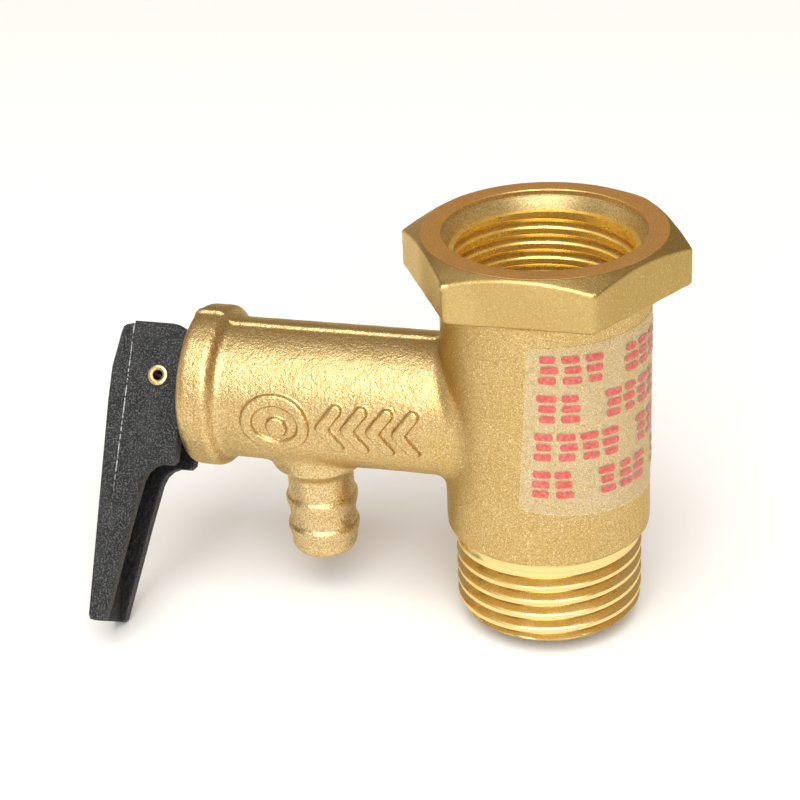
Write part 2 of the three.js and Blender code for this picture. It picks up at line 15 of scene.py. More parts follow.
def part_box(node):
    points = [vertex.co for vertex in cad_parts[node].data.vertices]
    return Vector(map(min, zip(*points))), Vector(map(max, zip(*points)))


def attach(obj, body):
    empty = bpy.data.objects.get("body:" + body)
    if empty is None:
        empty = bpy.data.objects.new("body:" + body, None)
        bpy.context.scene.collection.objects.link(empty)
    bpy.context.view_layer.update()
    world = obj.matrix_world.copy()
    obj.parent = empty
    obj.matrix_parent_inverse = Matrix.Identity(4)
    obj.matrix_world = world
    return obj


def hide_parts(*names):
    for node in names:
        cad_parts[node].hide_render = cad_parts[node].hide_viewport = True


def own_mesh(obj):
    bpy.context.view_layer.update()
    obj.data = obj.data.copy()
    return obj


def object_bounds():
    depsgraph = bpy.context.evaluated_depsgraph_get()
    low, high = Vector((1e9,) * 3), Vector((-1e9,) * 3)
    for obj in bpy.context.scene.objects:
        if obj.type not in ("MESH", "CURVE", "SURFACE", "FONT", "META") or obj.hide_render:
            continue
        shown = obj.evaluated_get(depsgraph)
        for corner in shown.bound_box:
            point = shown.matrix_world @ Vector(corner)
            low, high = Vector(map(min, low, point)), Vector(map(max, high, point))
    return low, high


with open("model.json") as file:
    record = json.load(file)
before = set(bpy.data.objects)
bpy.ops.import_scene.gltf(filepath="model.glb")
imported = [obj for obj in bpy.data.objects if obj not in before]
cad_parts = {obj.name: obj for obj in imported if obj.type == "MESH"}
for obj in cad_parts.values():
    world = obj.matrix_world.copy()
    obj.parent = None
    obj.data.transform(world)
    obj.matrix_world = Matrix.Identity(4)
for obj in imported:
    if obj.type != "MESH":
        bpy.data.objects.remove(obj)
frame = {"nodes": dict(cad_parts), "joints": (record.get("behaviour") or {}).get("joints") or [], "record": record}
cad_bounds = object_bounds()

MM = 0.001

# ---- Driving dimensions, in millimetres ----


def box_mm(node):
    """A node's lowest and highest corners in millimetres."""
    low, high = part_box(node)
    return np.array(low) / MM, np.array(high) / MM


JOINTS = {joint["name"]: joint for joint in frame["joints"]}
BODY_LOW, BODY_HIGH = box_mm("valve_body")
NUT_LOW, NUT_HIGH = box_mm("adjusting_nut")
PIN_LOW, PIN_HIGH = box_mm("hinge_pin")
WASHER_LOW, WASHER_HIGH = box_mm("bearing_washer")
RELIEF_LOW, RELIEF_HIGH = box_mm("relief_spring")
CHECK_LOW, CHECK_HIGH = box_mm("check_spring")
STEM_LOW, _ = box_mm("relief_stem")
HOLDER_LOW, _ = box_mm("disc_holder")
CAGE_LOW, _ = box_mm("check_cage")
_, LABEL_HIGH = box_mm("warning_label")

# Hexagon with the machined ring on its coned top, and the barrel under it.
HEX_FLATS = BODY_HIGH[1] - BODY_LOW[1]
HEX_HEIGHT = 5.6
HEX_CORNER = HEX_FLATS / math.sqrt(3)
TOP_FACE_R = 13.05
CHAMFER_DROP = 1.2
BARREL_R = 11.4
SHOULDER_Z = -35.0
INLET_END_Z = BODY_LOW[2]

# G 1/2 pipe threads: the socket at the top and the spigot at the bottom.
PITCH = 1.814
FLANK_DEGREES = 27.5
THREAD_MAJOR_R = 10.48
MOUTH_R = 10.88
MOUTH_DEPTH = 0.7
SOCKET_CONE_TOP_R = 10.62
SOCKET_CONE_LOW_R = 10.15
SOCKET_CONE_LOW_Z = -2.05
SOCKET_CREST_R = 9.6
SOCKET_FLOOR_Z = -15.5
WATERWAY_R = 6.2
CARTRIDGE_R = 7.5
CARTRIDGE_TOP_Z = -27.2

# Branch along -X with the relief valve's bores.
BRANCH_Z = (NUT_LOW[2] + NUT_HIGH[2]) / 2
BRANCH_R = 8.05
BRANCH_END = -BODY_LOW[0]
COLLAR_R = 9.25
COLLAR_START = 36.1
CHAMBER_R = 6.0
CHAMBER_START = 14.0
NUT_BORE_R = 6.5
NUT_BORE_START = 33.5
ORIFICE_R = 2.4
RIDGE_HALF = 0.42
RIDGE_HEIGHT = 0.28

# Drain barb under the branch.
BARB_X = -26.8
BARB_END_Z = -42.4
BARB_NECK_R = 3.87
BARB_BULGE = 0.36
BARB_BORE_R = 2.6
BARB_RING_TOPS = (-34.7, -38.4)
BARB_STEP_Z = -31.7

# Lever, its rivet and the stem that carries them.
PIN_X = (PIN_LOW[0] + PIN_HIGH[0]) / 2
PIN_HOLE_R = 1.05
PIN_HOLE_ROUND = 0.15
LEVER_AXIS = JOINTS["lever_lift"]["axis"]
LEVER_TURN = math.atan2(LEVER_AXIS[2], LEVER_AXIS[1])
LEVER_HALF = 3.9
CHANNEL_HALF = 2.2
SEAM_X = -47.95
STEM_R = 2.0
STEM_CHAMFER = 0.5
STEM_EDGE_ROUND = 0.2
STEM_START = -HOLDER_LOW[0] + 0.05
STEM_END = -STEM_LOW[0]

# ---- Meshing ----


def smooth_max(a, b, k):
    """The larger of two distances, with the edge between them rounded over about k."""
    h = np.maximum(k - np.abs(a - b), 0.0) / k
    return np.maximum(a, b) + h * h * (k * 0.25)


def smooth_min(a, b, k):
    """The smaller of two distances, with the corner between them filled over about k."""
    return -smooth_max(-a, -b, k)


def ramp(low, high, value):
    """0 below low, 1 above high and a smooth step between them."""
    t = np.clip((value - low) / (high - low), 0.0, 1.0)
    return t * t * (3.0 - 2.0 * t)


def outline_distance(px, py, outline):
    """Signed distance to a closed outline of (x, y) corners, negative inside."""
    best = np.full(px.shape, np.inf, dtype=px.dtype)
    inside = np.zeros(px.shape, dtype=bool)
    for (ax, ay), (bx, by) in zip(outline, outline[1:] + outline[:1]):
        ex, ey = bx - ax, by - ay
        wx, wy = px - ax, py - ay
        t = np.clip((wx * ex + wy * ey) / (ex * ex + ey * ey), 0.0, 1.0)
        dx, dy = wx - t * ex, wy - t * ey
        best = np.minimum(best, dx * dx + dy * dy)
        crosses = (ay > py) != (by > py)
        if ey != 0:
            inside ^= crosses & (px < ex * (py - ay) / ey + ax)
    distance = np.sqrt(best)
    return np.where(inside, -distance, distance)


BODY_STEPS = (0.34, 0.2)
SMALL_STEPS = (0.22, 0.14)
BLOCK = 8
BLOCKS_AT_ONCE = 512
POINTS_AT_ONCE = 150000
SLOPE_REACH = 0.25
LEAST_SLOPE = 0.25


def values_at(distance, points):
    """The distance at many points, in chunks that keep the arrays small."""
    points = points.astype(np.float32)
    values = np.empty(len(points), dtype=np.float32)
    for start in range(0, len(points), POINTS_AT_ONCE):
        part = points[start:start + POINTS_AT_ONCE]
        values[start:start + POINTS_AT_ONCE] = distance(part[:, 0], part[:, 1], part[:, 2])
    return values


def index_grid(counts):
    """Every whole-number place in a box with these counts, one row each."""
    ranges = [np.arange(count) for count in counts]
    return np.stack(np.meshgrid(*ranges, indexing="ij"), -1).reshape(-1, 3)


def sample_field(distance, low, step, blocks):
    """The field on a grid, worked out finely only in the blocks near the surface."""
    width = BLOCK * step
    corners = index_grid(blocks)
    rough = values_at(distance, low + (corners + 0.5) * width)
    field = rough.reshape(blocks)
    for axis in range(3):
        field = np.repeat(field, BLOCK, axis=axis)
    near = corners[np.abs(rough) < width]
    inner = index_grid([BLOCK] * 3)
    for start in range(0, len(near), BLOCKS_AT_ONCE):
        cells = near[start:start + BLOCKS_AT_ONCE, None, :] * BLOCK + inner[None]
        cells = cells.reshape(-1, 3)
        field[cells[:, 0], cells[:, 1], cells[:, 2]] = values_at(distance, low + cells * step)
    return field


def crossings(field, axis):
    """Where the grid's edges along an axis cross the surface.

    Gives each crossing's place, the four cells round it, and whether its quad is already
    the right way round.
    """
    solid = field < 0
    front, back = [slice(None)] * 3, [slice(None)] * 3
    front[axis], back[axis] = slice(0, -1), slice(1, None)
    start = np.argwhere(solid[tuple(front)] != solid[tuple(back)])
    others = [other for other in range(3) if other != axis]
    start = start[(start[:, others] > 0).all(1)]
    stride = np.array([field.shape[1] * field.shape[2], field.shape[2], 1])
    index = start @ stride
    flat = field.ravel()
    here, ahead = flat[index], flat[index + stride[axis]]
    place = start.astype(np.float64)
    place[:, axis] += here / (here - ahead)
    u, v = stride[others]
    cells = np.stack([index, index - u, index - u - v, index - v], 1)
    return place, cells, (here < 0) ^ (axis == 1)


def surface_net(distance, low, high, step):
    """Vertices and quads of the surface where a distance function is zero."""
    low = np.array(low, dtype=np.float64)
    blocks = tuple(int(math.ceil(span / (BLOCK * step))) for span in np.array(high) - low)
    field = sample_field(distance, low, step, blocks)
    found = [crossings(field, axis) for axis in range(3)]
    places, cells, facing = (np.concatenate(part) for part in zip(*found))
    _, owner = np.unique(cells.ravel(), return_inverse=True)
    count = np.bincount(owner)
    sums = [np.bincount(owner, np.repeat(places[:, axis], 4)) for axis in range(3)]
    vertices = low + np.stack(sums, 1) / count[:, None] * step
    faces = owner.reshape(-1, 4)
    faces[~facing] = faces[~facing][:, ::-1]
    return settle(distance, vertices, step), faces


def settle(distance, vertices, step, rounds=2):
    """Moves each vertex along the field's slope onto the surface itself."""
    reach = step * SLOPE_REACH
    for _ in range(rounds):
        here = values_at(distance, vertices)
        slope = np.empty_like(vertices)
        for axis in range(3):
            shift = np.zeros(3)
            shift[axis] = reach
            slope[:, axis] = (values_at(distance, vertices + shift) - here) / reach
        steepness = np.maximum((slope * slope).sum(1), LEAST_SLOPE)
        move = -slope * (here / steepness)[:, None]
        vertices = vertices + np.clip(move, -step, step)
    return vertices


def make_piece(name, vertices, faces, material, body, slot, replaced=(), turn=None):
    """A smooth-shaded mesh piece from millimetre vertices."""
    points = np.asarray(vertices, dtype=np.float64)
    if turn is not None:
        points = turn(points)
    mesh = bpy.data.meshes.new(name)
    faces = np.asarray(faces)
    mesh.vertices.add(len(points))
    mesh.vertices.foreach_set("co", (points * MM).ravel())
    mesh.loops.add(faces.size)
    mesh.loops.foreach_set("vertex_index", faces.ravel().astype(np.int32))
    mesh.polygons.add(len(faces))
    starts = np.arange(len(faces), dtype=np.int32) * faces.shape[1]
    mesh.polygons.foreach_set("loop_start", starts)
    mesh.update(calc_edges=True)
    mesh.validate()
    mesh.shade_smooth()
    mesh.materials.append(material)
    piece = bpy.data.objects.new(name, mesh)
    bpy.context.scene.collection.objects.link(piece)
    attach(piece, body)
    if replaced:
        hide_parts(*replaced)
    return piece


def net_piece(name, distance, low, high, steps, *rest):
    """A piece from a distance function; steps are its mesh sizes when quick and when fine, and only the fine one
    is used.
    """
    vertices, faces = surface_net(distance, low, high, steps[1])
    make_piece(name, vertices, faces, *rest)


def grid_faces(rows, columns, closed=True):
    """Quads over a grid of rows by columns, wrapped round in the column direction."""
    wide = columns if closed else columns - 1
    r, c = np.meshgrid(np.arange(rows - 1), np.arange(wide), indexing="ij")
    n = (c + 1) % columns
    quads = np.stack([r * columns + c, r * columns + n, (r + 1) * columns + n,
                      (r + 1) * columns + c], -1)
    return quads.reshape(-1, 4)


def weld(piece, distance=0.002 * MM):
    """Joins vertices that lie on each other and drops the faces that had no area."""
    welded = bmesh.new()
    welded.from_mesh(piece.data)
    bmesh.ops.remove_doubles(welded, verts=welded.verts, dist=distance)
    bmesh.ops.dissolve_degenerate(welded, edges=welded.edges, dist=distance)
    welded.to_mesh(piece.data)
    welded.free()


def sharpen(piece, degrees=32):
    """Shades the edges that turn by more than this angle as sharp ones."""
    piece.data.set_sharp_from_angle(angle=math.radians(degrees))


def turned_points(outline, columns, closed_outline=True):
    """A turned shape about +Z: the outline's (radius, height) pairs at each column."""
    profile = list(outline)
    if closed_outline:
        profile.append(profile[0])
    angles = np.arange(columns) * 2 * math.pi / columns
    rows = [np.stack([r * np.cos(angles), r * np.sin(angles), np.full(columns, float(z))], 1)
            for r, z in profile]
    return np.concatenate(rows), grid_faces(len(profile), columns)


def rounded(outline, radius, steps=3, most_of_side=0.45):
    """An outline of (x, y) corners with every corner rounded off."""
    points = []
    count = len(outline)
    for i in range(count):
        before, here, after = (np.array(outline[(i + k) % count], float) for k in (-1, 0, 1))
        to_before, to_after = before - here, after - here
        long_before, long_after = np.linalg.norm(to_before), np.linalg.norm(to_after)
        reach = min(radius, long_before * most_of_side, long_after * most_of_side)
        first = here + to_before / long_before * reach
        last = here + to_after / long_after * reach
        for k in range(steps + 1):
            t = k / steps
            points.append(tuple((1 - t) ** 2 * first + 2 * t * (1 - t) * here + t * t * last))
    return points


def along_branch(points):
    """Turns +Z into -X, onto the branch axis."""
    x, y, z = points.T
    return np.stack([-z, y, x + BRANCH_Z], 1)


def lever_place(points):
    """From the lever's own frame to its place on the branch axis."""
    x, y, z = points.T
    cosine, sine = math.cos(LEVER_TURN), math.sin(LEVER_TURN)
    return np.stack([x, y * cosine - z * sine, y * sine + z * cosine + BRANCH_Z], 1)


# ---- Materials ----


class Look:
    """A material's node tree, built from object coordinates in millimetres."""

    def __init__(self, name):
        self.material = bpy.data.materials.new(name)
        self.material.use_nodes = True
        self.tree = self.material.node_tree
        self.shader = self.tree.nodes["Principled BSDF"]
        self.coordinates = self.add("TexCoord", {})
        metres = self.coordinates.outputs["Object"]
        scaled = self.add("VectorMath", {0: metres, "Scale": 1 / MM}, operation="SCALE")
        self.place = scaled.outputs[0]

    def put(self, socket, value):
        if isinstance(value, bpy.types.NodeSocket):
            self.tree.links.new(value, socket)
        else:
            socket.default_value = value

    def add(self, kind, inputs, **settings):
        """A new node with its settings, and its inputs set or linked by name or number."""
        node = self.tree.nodes.new("ShaderNode" + kind)
        for name, value in settings.items():
            setattr(node, name, value)
        for key, value in inputs.items():
            self.put(node.inputs[key], value)
        return node

    def stretched(self, factors):
        return self.add("VectorMath", {0: self.place, 1: factors}, operation="MULTIPLY").outputs[0]

    def in_lever_frame(self):
        """The place turned back about the branch's axis, so that Y is the rivet's axis."""
        inputs = {"Vector": self.place, "Center": (0.0, 0.0, BRANCH_Z), "Angle": -LEVER_TURN}
        return self.add("VectorRotate", inputs, rotation_type="X_AXIS").outputs["Vector"]

    def parts(self, vector=None):
        outputs = self.add("SeparateXYZ", {0: vector or self.place}).outputs
        return outputs["X"], outputs["Y"], outputs["Z"]

    def vector(self, x=0.0, y=0.0, z=0.0):
        return self.add("CombineXYZ", {"X": x, "Y": y, "Z": z}).outputs[0]

    def math(self, operation, a, b=0.0):
        return self.add("Math", {0: a, 1: b}, operation=operation).outputs[0]

    def hypot(self, a, b):
        squares = (self.math("MULTIPLY", side, side) for side in (a, b))
        return self.math("SQRT", self.math("ADD", *squares))

    def noise(self, scale, detail=2.0, rough=0.5, vector=None):
        inputs = {"Vector": vector or self.place, "Scale": scale, "Detail": detail,
                  "Roughness": rough}
        return self.add("TexNoise", inputs).outputs["Fac"]

    def cells(self, scale):
        """Distance to the middle of the nearest of many scattered cells."""
        return self.add("TexVoronoi", {"Vector": self.place, "Scale": scale}).outputs["Distance"]

    def steps(self, value, low, high, low_to=0.0, high_to=1.0):
        """A smooth step from low_to, where the value is low, to high_to."""
        inputs = {"Value": value, "From Min": low, "From Max": high, "To Min": low_to,
                  "To Max": high_to}
        return self.add("MapRange", inputs, interpolation_type="SMOOTHSTEP").outputs["Result"]

    def mix(self, factor, first, second):
        """The first colour where the factor is 0, and the second where it is 1."""
        first, second = ((*colour, 1.0) if isinstance(colour, tuple) else colour
                         for colour in (first, second))
        return self.add("Mix", {0: factor, 6: first, 7: second}, data_type="RGBA").outputs[2]

    def bump(self, height, strength, depth_mm, normal=None):
        inputs = {"Height": height, "Strength": strength, "Distance": depth_mm * MM}
        if normal is not None:
            inputs["Normal"] = normal
        return self.add("Bump", inputs).outputs["Normal"]

    def finish(self, **values):
        """Sets the shader's sockets, whose names are written with underscores."""
        for name, value in values.items():
            if isinstance(value, tuple):
                value = (*value, 1.0)
            self.put(self.shader.inputs[name.replace("_", " ")], value)
        return self.material


HEXAGON_FADE = (-HEX_HEIGHT - 0.8, -HEX_HEIGHT)
BRANCH_FADE = (-12.5, -10.5)
PEEL_FADE = (-13.0, -9.5)
LEFT_FLAT_FADE = (-13.0, -8.5)
RIGHT_FLAT_FADE = (6.0, 10.0)
BRANCH_FOOT_FADE = (-31.5, -26.0)


def forging_tone(look, x, z):
    """The forging's base colour, which differs from zone to zone: darker on the hexagon, with painted shade on its
    left and right flats, and lighter and paler on the branch as painted light, most of all on the branch's
    underside.
    """
    cloudy = look.steps(look.noise(0.16, 3.0, 0.6), 0.35, 0.68)
    barrel = look.mix(cloudy, (0.64, 0.45, 0.172), (0.70, 0.51, 0.215))
    hexagon = look.mix(cloudy, (0.54, 0.38, 0.133), (0.60, 0.433, 0.165))
    # Painted light: the branch's tone is lighter and paler than the barrel's, standing in for more light on the
    # branch.
    branch = look.mix(cloudy, (0.70, 0.51, 0.235), (0.775, 0.58, 0.29))
    on_hexagon = look.steps(z, *HEXAGON_FADE)
    on_branch = look.steps(x, *BRANCH_FADE, 1.0, 0.0)
    # Painted shade: the hexagon's left flat, and more faintly its right flat, are darkened as if less lit.
    left_flat_shade = look.math("MULTIPLY", look.steps(x, *LEFT_FLAT_FADE, 1.0, 0.0), on_hexagon)
    right_flat_shade = look.math("MULTIPLY", look.steps(x, *RIGHT_FLAT_FADE, 0.0, 0.6), on_hexagon)
    # Painted light: the branch's underside is lightened further, as if lit from below.
    branch_foot_light = look.math("MULTIPLY", look.steps(z, *BRANCH_FOOT_FADE, 0.8, 0.0), on_branch)
    tone = look.mix(on_hexagon, barrel, hexagon)
    tone = look.mix(look.math("MAXIMUM", left_flat_shade, right_flat_shade), tone, (0.40, 0.27, 0.075))
    tone = look.mix(on_branch, tone, branch)
    return look.mix(branch_foot_light, tone, (0.88, 0.70, 0.40))


def blasted_brass():
    """Sandblasted brass: fine grain and specks all over, and coarser dents on the branch."""
    look = Look("blasted brass")
    x, _, z = look.parts()
    grain = look.noise(5.6, 3.0, 0.66)
    grain_strength = look.steps(z, *HEXAGON_FADE, 1.0, 0.5)
    dark = look.math("MULTIPLY", look.steps(grain, 0.34, 0.66, 1.0, 0.0), grain_strength)
    speck = look.steps(look.noise(7.5, 2.0, 0.5), 0.58, 0.70)
    speck = look.math("MULTIPLY", speck, grain_strength)
    tone = look.mix(dark, forging_tone(look, x, z), (0.46, 0.30, 0.105))
    tone = look.mix(speck, tone, (0.94, 0.80, 0.48))
    on_branch = look.steps(x, *PEEL_FADE, 1.0, 0.2)
    peel = look.math("MULTIPLY", look.noise(2.1, 3.0, 0.6), on_branch)
    pitted = look.math("ADD", grain, look.math("MULTIPLY", look.cells(6.0), 0.5))
    normal = look.bump(pitted, 0.55, 0.05, look.bump(peel, 0.66, 0.15))
    rough = look.steps(grain, 0.25, 0.75, 0.42, 0.30)
    return look.finish(Base_Color=tone, Metallic=1.0, Roughness=rough, Normal=normal,
                       Specular_Tint=(0.82, 0.76, 0.57))


def turned_brass(name, light, dark, rough_low, rough_high, stained=0.35, metal=1.0, underside_shade=0.0,
                 speckled=0.0):
    """Bright brass with a lathe's fine rings, stains, red specks and painted shade on the faces that point down.
    """
    look = Look(name)
    x, y, z = look.parts()
    rings = look.noise(9.0, 3.0, 0.6, look.vector(look.hypot(x, y), 0.0, z))
    stain = look.noise(0.55, 4.0, 0.6)
    tone = look.mix(look.steps(rings, 0.3, 0.7), dark, light)
    tone = look.mix(look.steps(stain, 0.62, 0.78, 0.0, stained), tone, (0.45, 0.27, 0.09))
    if speckled:
        fine = look.steps(look.noise(5.0, 3.0, 0.6), 0.45, 0.68, 0.0, speckled)
        tone = look.mix(fine, tone, (0.52, 0.22, 0.06))
    # Painted shade: faces that point down are darkened, as if in shade.
    if underside_shade:
        _, _, rise = look.parts(look.coordinates.outputs["Normal"])  # -1 on an underside
        tone = look.mix(look.steps(rise, -0.92, -0.62, underside_shade, 0.0), tone, (0.26, 0.15, 0.04))
    normal = look.bump(rings, 0.35, 0.012)
    rough = look.steps(stain, 0.3, 0.75, rough_low, rough_high)
    return look.finish(Base_Color=tone, Metallic=metal, Roughness=rough, Normal=normal,
                       Specular_Tint=(0.94, 0.90, 0.70))


def mouth_brass():
    """Pale matt brass of the blasted socket mouth, with turning marks under the grain."""
    look = Look("socket mouth brass")
    _, _, z = look.parts()
    grain = look.noise(5.6, 3.0, 0.62)
    marks = look.noise(6.0, 2.0, 0.5, look.vector(0.0, 0.0, z))
    tone = look.mix(look.steps(grain, 0.32, 0.68), (0.42, 0.29, 0.11), (0.72, 0.55, 0.265))
    tone = look.mix(look.steps(marks, 0.58, 0.72, 0.0, 0.4), tone, (0.46, 0.29, 0.10))
    normal = look.bump(grain, 0.5, 0.05)
    rough = look.steps(grain, 0.3, 0.7, 0.44, 0.32)
    return look.finish(Base_Color=tone, Metallic=0.85, Roughness=rough, Normal=normal)


RIVET_BORE_EDGE = (0.52, 0.66)
RIVET_RIM_EDGE = (0.70, 0.95)


def rivet_brass():
    """Bright rolled rims, with painted shade on the rims' inner slope and a bore painted nearly black as the shade
    inside the hole.
    """
    look = Look("rivet brass")
    x, _, z = look.parts(look.in_lever_frame())
    off_axis = look.hypot(look.math("SUBTRACT", x, PIN_X), look.math("SUBTRACT", z, BRANCH_Z))
    wear = look.noise(5.0, 3.0, 0.6)
    tone = look.mix(look.steps(wear, 0.3, 0.7), (0.62, 0.42, 0.17), (0.95, 0.77, 0.44))
    # Painted shade: the inner slope of each rim, towards the bore, is darkened.
    tone = look.mix(look.steps(off_axis, *RIVET_RIM_EDGE), (0.50, 0.31, 0.09), tone)
    # Painted shade: the bore is painted nearly black.
    tone = look.mix(look.steps(off_axis, *RIVET_BORE_EDGE), (0.040, 0.016, 0.005), tone)
    normal = look.bump(wear, 0.3, 0.03)
    rough = look.steps(wear, 0.3, 0.7, 0.26, 0.40)
    return look.finish(Base_Color=tone, Metallic=1.0, Roughness=rough, Normal=normal)


CHANNEL_WALL_EDGE = (CHANNEL_HALF + 0.08, CHANNEL_HALF + 0.3)
CHANNEL_BACK_EDGE = (-48.9, -48.5)
SEAM_EDGE = (0.03, 0.10)
SEAM_FADE = (BRANCH_Z - 9.5, BRANCH_Z - 6.0)


def channel_shade(look, x):
    """How much darker the inner faces of the lever's channel are; 0 on its outside."""
    _, across, _ = look.parts(look.in_lever_frame())
    inner = look.steps(look.math("ABSOLUTE", across), *CHANNEL_WALL_EDGE, 0.75, 0.0)
    return look.math("MULTIPLY", inner, look.steps(x, *CHANNEL_BACK_EDGE))


def lever_plastic():
    """Black plastic with pale glass specks, a pebbled skin and a scuffed mould seam."""
    look = Look("glass filled black plastic")
    x, _, z = look.parts()
    fine = look.noise(6.5, 3.0, 0.65)
    flow = look.noise(0.5, 3.0, 0.6, look.stretched((1.0, 1.0, 0.3)))
    speck = look.steps(look.noise(5.6, 3.0, 0.65), 0.48, 0.64)
    off_seam = look.math("ABSOLUTE", look.math("SUBTRACT", x, SEAM_X))
    line = look.steps(off_seam, *SEAM_EDGE, 1.0, 0.0)
    broken = look.steps(look.noise(1.9, 3.0, 0.7), 0.40, 0.58)
    scuffed = look.math("MULTIPLY", line, broken)
    scuffed = look.math("MULTIPLY", scuffed, look.steps(z, *SEAM_FADE, 0.12, 1.0))
    tone = look.mix(look.steps(flow, 0.35, 0.7), (0.009, 0.009, 0.010), (0.023, 0.023, 0.024))
    tone = look.mix(speck, tone, (0.108, 0.108, 0.110))
    tone = look.mix(channel_shade(look, x), tone, (0.004, 0.004, 0.005))
    tone = look.mix(scuffed, tone, (0.62, 0.62, 0.62))
    height = look.math("ADD", look.math("MULTIPLY", look.cells(1.9), 1.2), fine)
    height = look.math("ADD", height, look.math("MULTIPLY", line, 0.8))
    normal = look.bump(height, 1.0, 0.18)
    rough = look.steps(fine, 0.3, 0.7, 0.62, 0.42)
    return look.finish(Base_Color=tone, Roughness=rough, Normal=normal,
                       Specular_IOR_Level=0.3)


def steel():
    look = Look("spring steel")
    drawn = look.noise(3.0, 4.0, 0.6, look.stretched((1.0, 1.0, 6.0)))
    tone = look.mix(look.steps(drawn, 0.3, 0.7), (0.40, 0.40, 0.41), (0.62, 0.62, 0.63))
    normal = look.bump(drawn, 0.2, 0.02)
    rough = look.steps(drawn, 0.3, 0.7, 0.24, 0.38)
    return look.finish(Base_Color=tone, Metallic=1.0, Roughness=rough, Normal=normal)


def rubber():
    look = Look("valve rubber")
    bloom = look.noise(1.4, 4.0, 0.6)
    tone = look.mix(look.steps(bloom, 0.4, 0.75), (0.012, 0.012, 0.013), (0.035, 0.034, 0.033))
    normal = look.bump(look.noise(7.0, 2.0), 0.3, 0.03)
    rough = look.steps(bloom, 0.3, 0.7, 0.55, 0.8)
    return look.finish(Base_Color=tone, Roughness=rough, Normal=normal)


def white_nylon():
    look = Look("white nylon")
    cloud = look.noise(0.5, 3.0, 0.6)
    tone = look.mix(look.steps(cloud, 0.3, 0.7), (0.74, 0.72, 0.66), (0.83, 0.82, 0.78))
    normal = look.bump(look.noise(6.0, 3.0), 0.25, 0.025)
    rough = look.steps(cloud, 0.3, 0.7, 0.42, 0.56)
    return look.finish(Base_Color=tone, Roughness=rough, Normal=normal)


def label_film():
    look = Look("clear label film")
    grain = look.noise(4.4, 3.0, 0.62)
    patch = look.noise(0.35, 3.0, 0.6)
    tone = look.mix(look.steps(grain, 0.36, 0.64), (0.66, 0.56, 0.34), (1.0, 0.95, 0.78))
    normal = look.bump(look.math("ADD", grain, look.cells(5.0)), 0.35, 0.04)
    rough = look.steps(patch, 0.3, 0.7, 0.26, 0.38)
    cover = look.steps(patch, 0.3, 0.7, 0.18, 0.28)
    return look.finish(Base_Color=tone, Roughness=rough, Normal=normal, Alpha=cover)


def red_print():
    look = Look("red print")
    wear = look.noise(2.6, 4.0, 0.65)
    tone = look.mix(look.steps(wear, 0.35, 0.7), (0.60, 0.068, 0.062), (0.76, 0.19, 0.165))
    normal = look.bump(look.noise(5.0, 3.0), 0.35, 0.03)
    cover = look.steps(wear, 0.25, 0.5, 0.94, 0.78)
    return look.finish(Base_Color=tone, Roughness=0.42, Normal=normal, Alpha=cover)


def pale_floor():
    look = Look("pale floor")
    cloud = look.noise(0.004, 2.0)
    tone = look.mix(cloud, (0.94, 0.935, 0.92), (0.95, 0.945, 0.93))
    return look.finish(Base_Color=tone, Roughness=0.75)


# ---- Forged body ----

MARK_HEIGHT = 0.52
MARK_RING = (3.3, 2.75)
MARK_RING_OUT = 28.9
MARK_STROKE_HALF = 0.62
SOFT_EDGE = (-0.12, 0.16)
BOSS_SHIFT = (-0.2, -0.3)
BOSS_R = 1.15
CHEVRON_COUNT = 4
CHEVRON_OUT = 23.5
CHEVRON_STEP = 2.9
CHEVRON_DEPTH = 1.7
CHEVRON_HALF = 2.2


def mark_distance(u, v):
    """A raised oval ring round a boss and chevrons that point outwards, in the skin's plane.

    u runs out along the branch and v up round it.
    """
    long, high = MARK_RING
    bend = np.hypot((u - MARK_RING_OUT) / long, v / high)
    slope = np.hypot((u - MARK_RING_OUT) / long ** 2, v / high ** 2) / np.maximum(bend, 1e-3)
    ring = np.abs((bend - 1.0) / np.maximum(slope, 0.15)) - MARK_STROKE_HALF
    boss = np.hypot(u - MARK_RING_OUT - BOSS_SHIFT[0], v - BOSS_SHIFT[1]) - BOSS_R
    best = np.minimum(ring, boss)
    arm = CHEVRON_DEPTH ** 2 + CHEVRON_HALF ** 2
    for i in range(CHEVRON_COUNT):
        along, across = CHEVRON_OUT - CHEVRON_STEP * i - u, np.abs(v)
        reach = np.clip((along * CHEVRON_DEPTH + across * CHEVRON_HALF) / arm, 0.0, 1.0)
        stroke = np.hypot(along - CHEVRON_DEPTH * reach, across - CHEVRON_HALF * reach)
        best = np.minimum(best, stroke - MARK_STROKE_HALF)
    return best


SKIN_DEPTH = 0.03
SKIN_WAVE = 0.018
TOP_RECESS = 0.03
BARREL_TOP_Z = -3.0
BRANCH_START = 4.0
RIDGE_FADE = (9.5, 12.0)
COLLAR_LEAN, COLLAR_LEAN_LENGTH = 0.38, 1.07
BARB_STEP = 0.18
BARB_STEP_HALF = 0.05
BARB_RING_EDGE = (-0.28, 0.16)
BARB_RING_TAPER = (0.3, 2.3)
BARB_ROOT_FLARE = 1.35
BARB_SLOPE = 0.75
NUB = (-7.75, -13.25, -1.45)
NUB_R = 0.42

# Radii of the forging's rounded edges and of the fillets between its parts.
SHOULDER_ROUND = 0.6
COLLAR_END_ROUND = 1.3
COLLAR_BACK_ROUND = 0.8
BARB_TIP_ROUND = 1.7
HEX_CORNER_ROUND = 0.5
HEX_TOP_ROUND = 0.28
HEX_FOOT_ROUND = 0.7
COLLAR_FILLET = 0.75
BRANCH_FILLET = 1.3
BARB_FILLET = 1.0
HEX_FILLET = 2.0
NUB_FILLET = 0.3


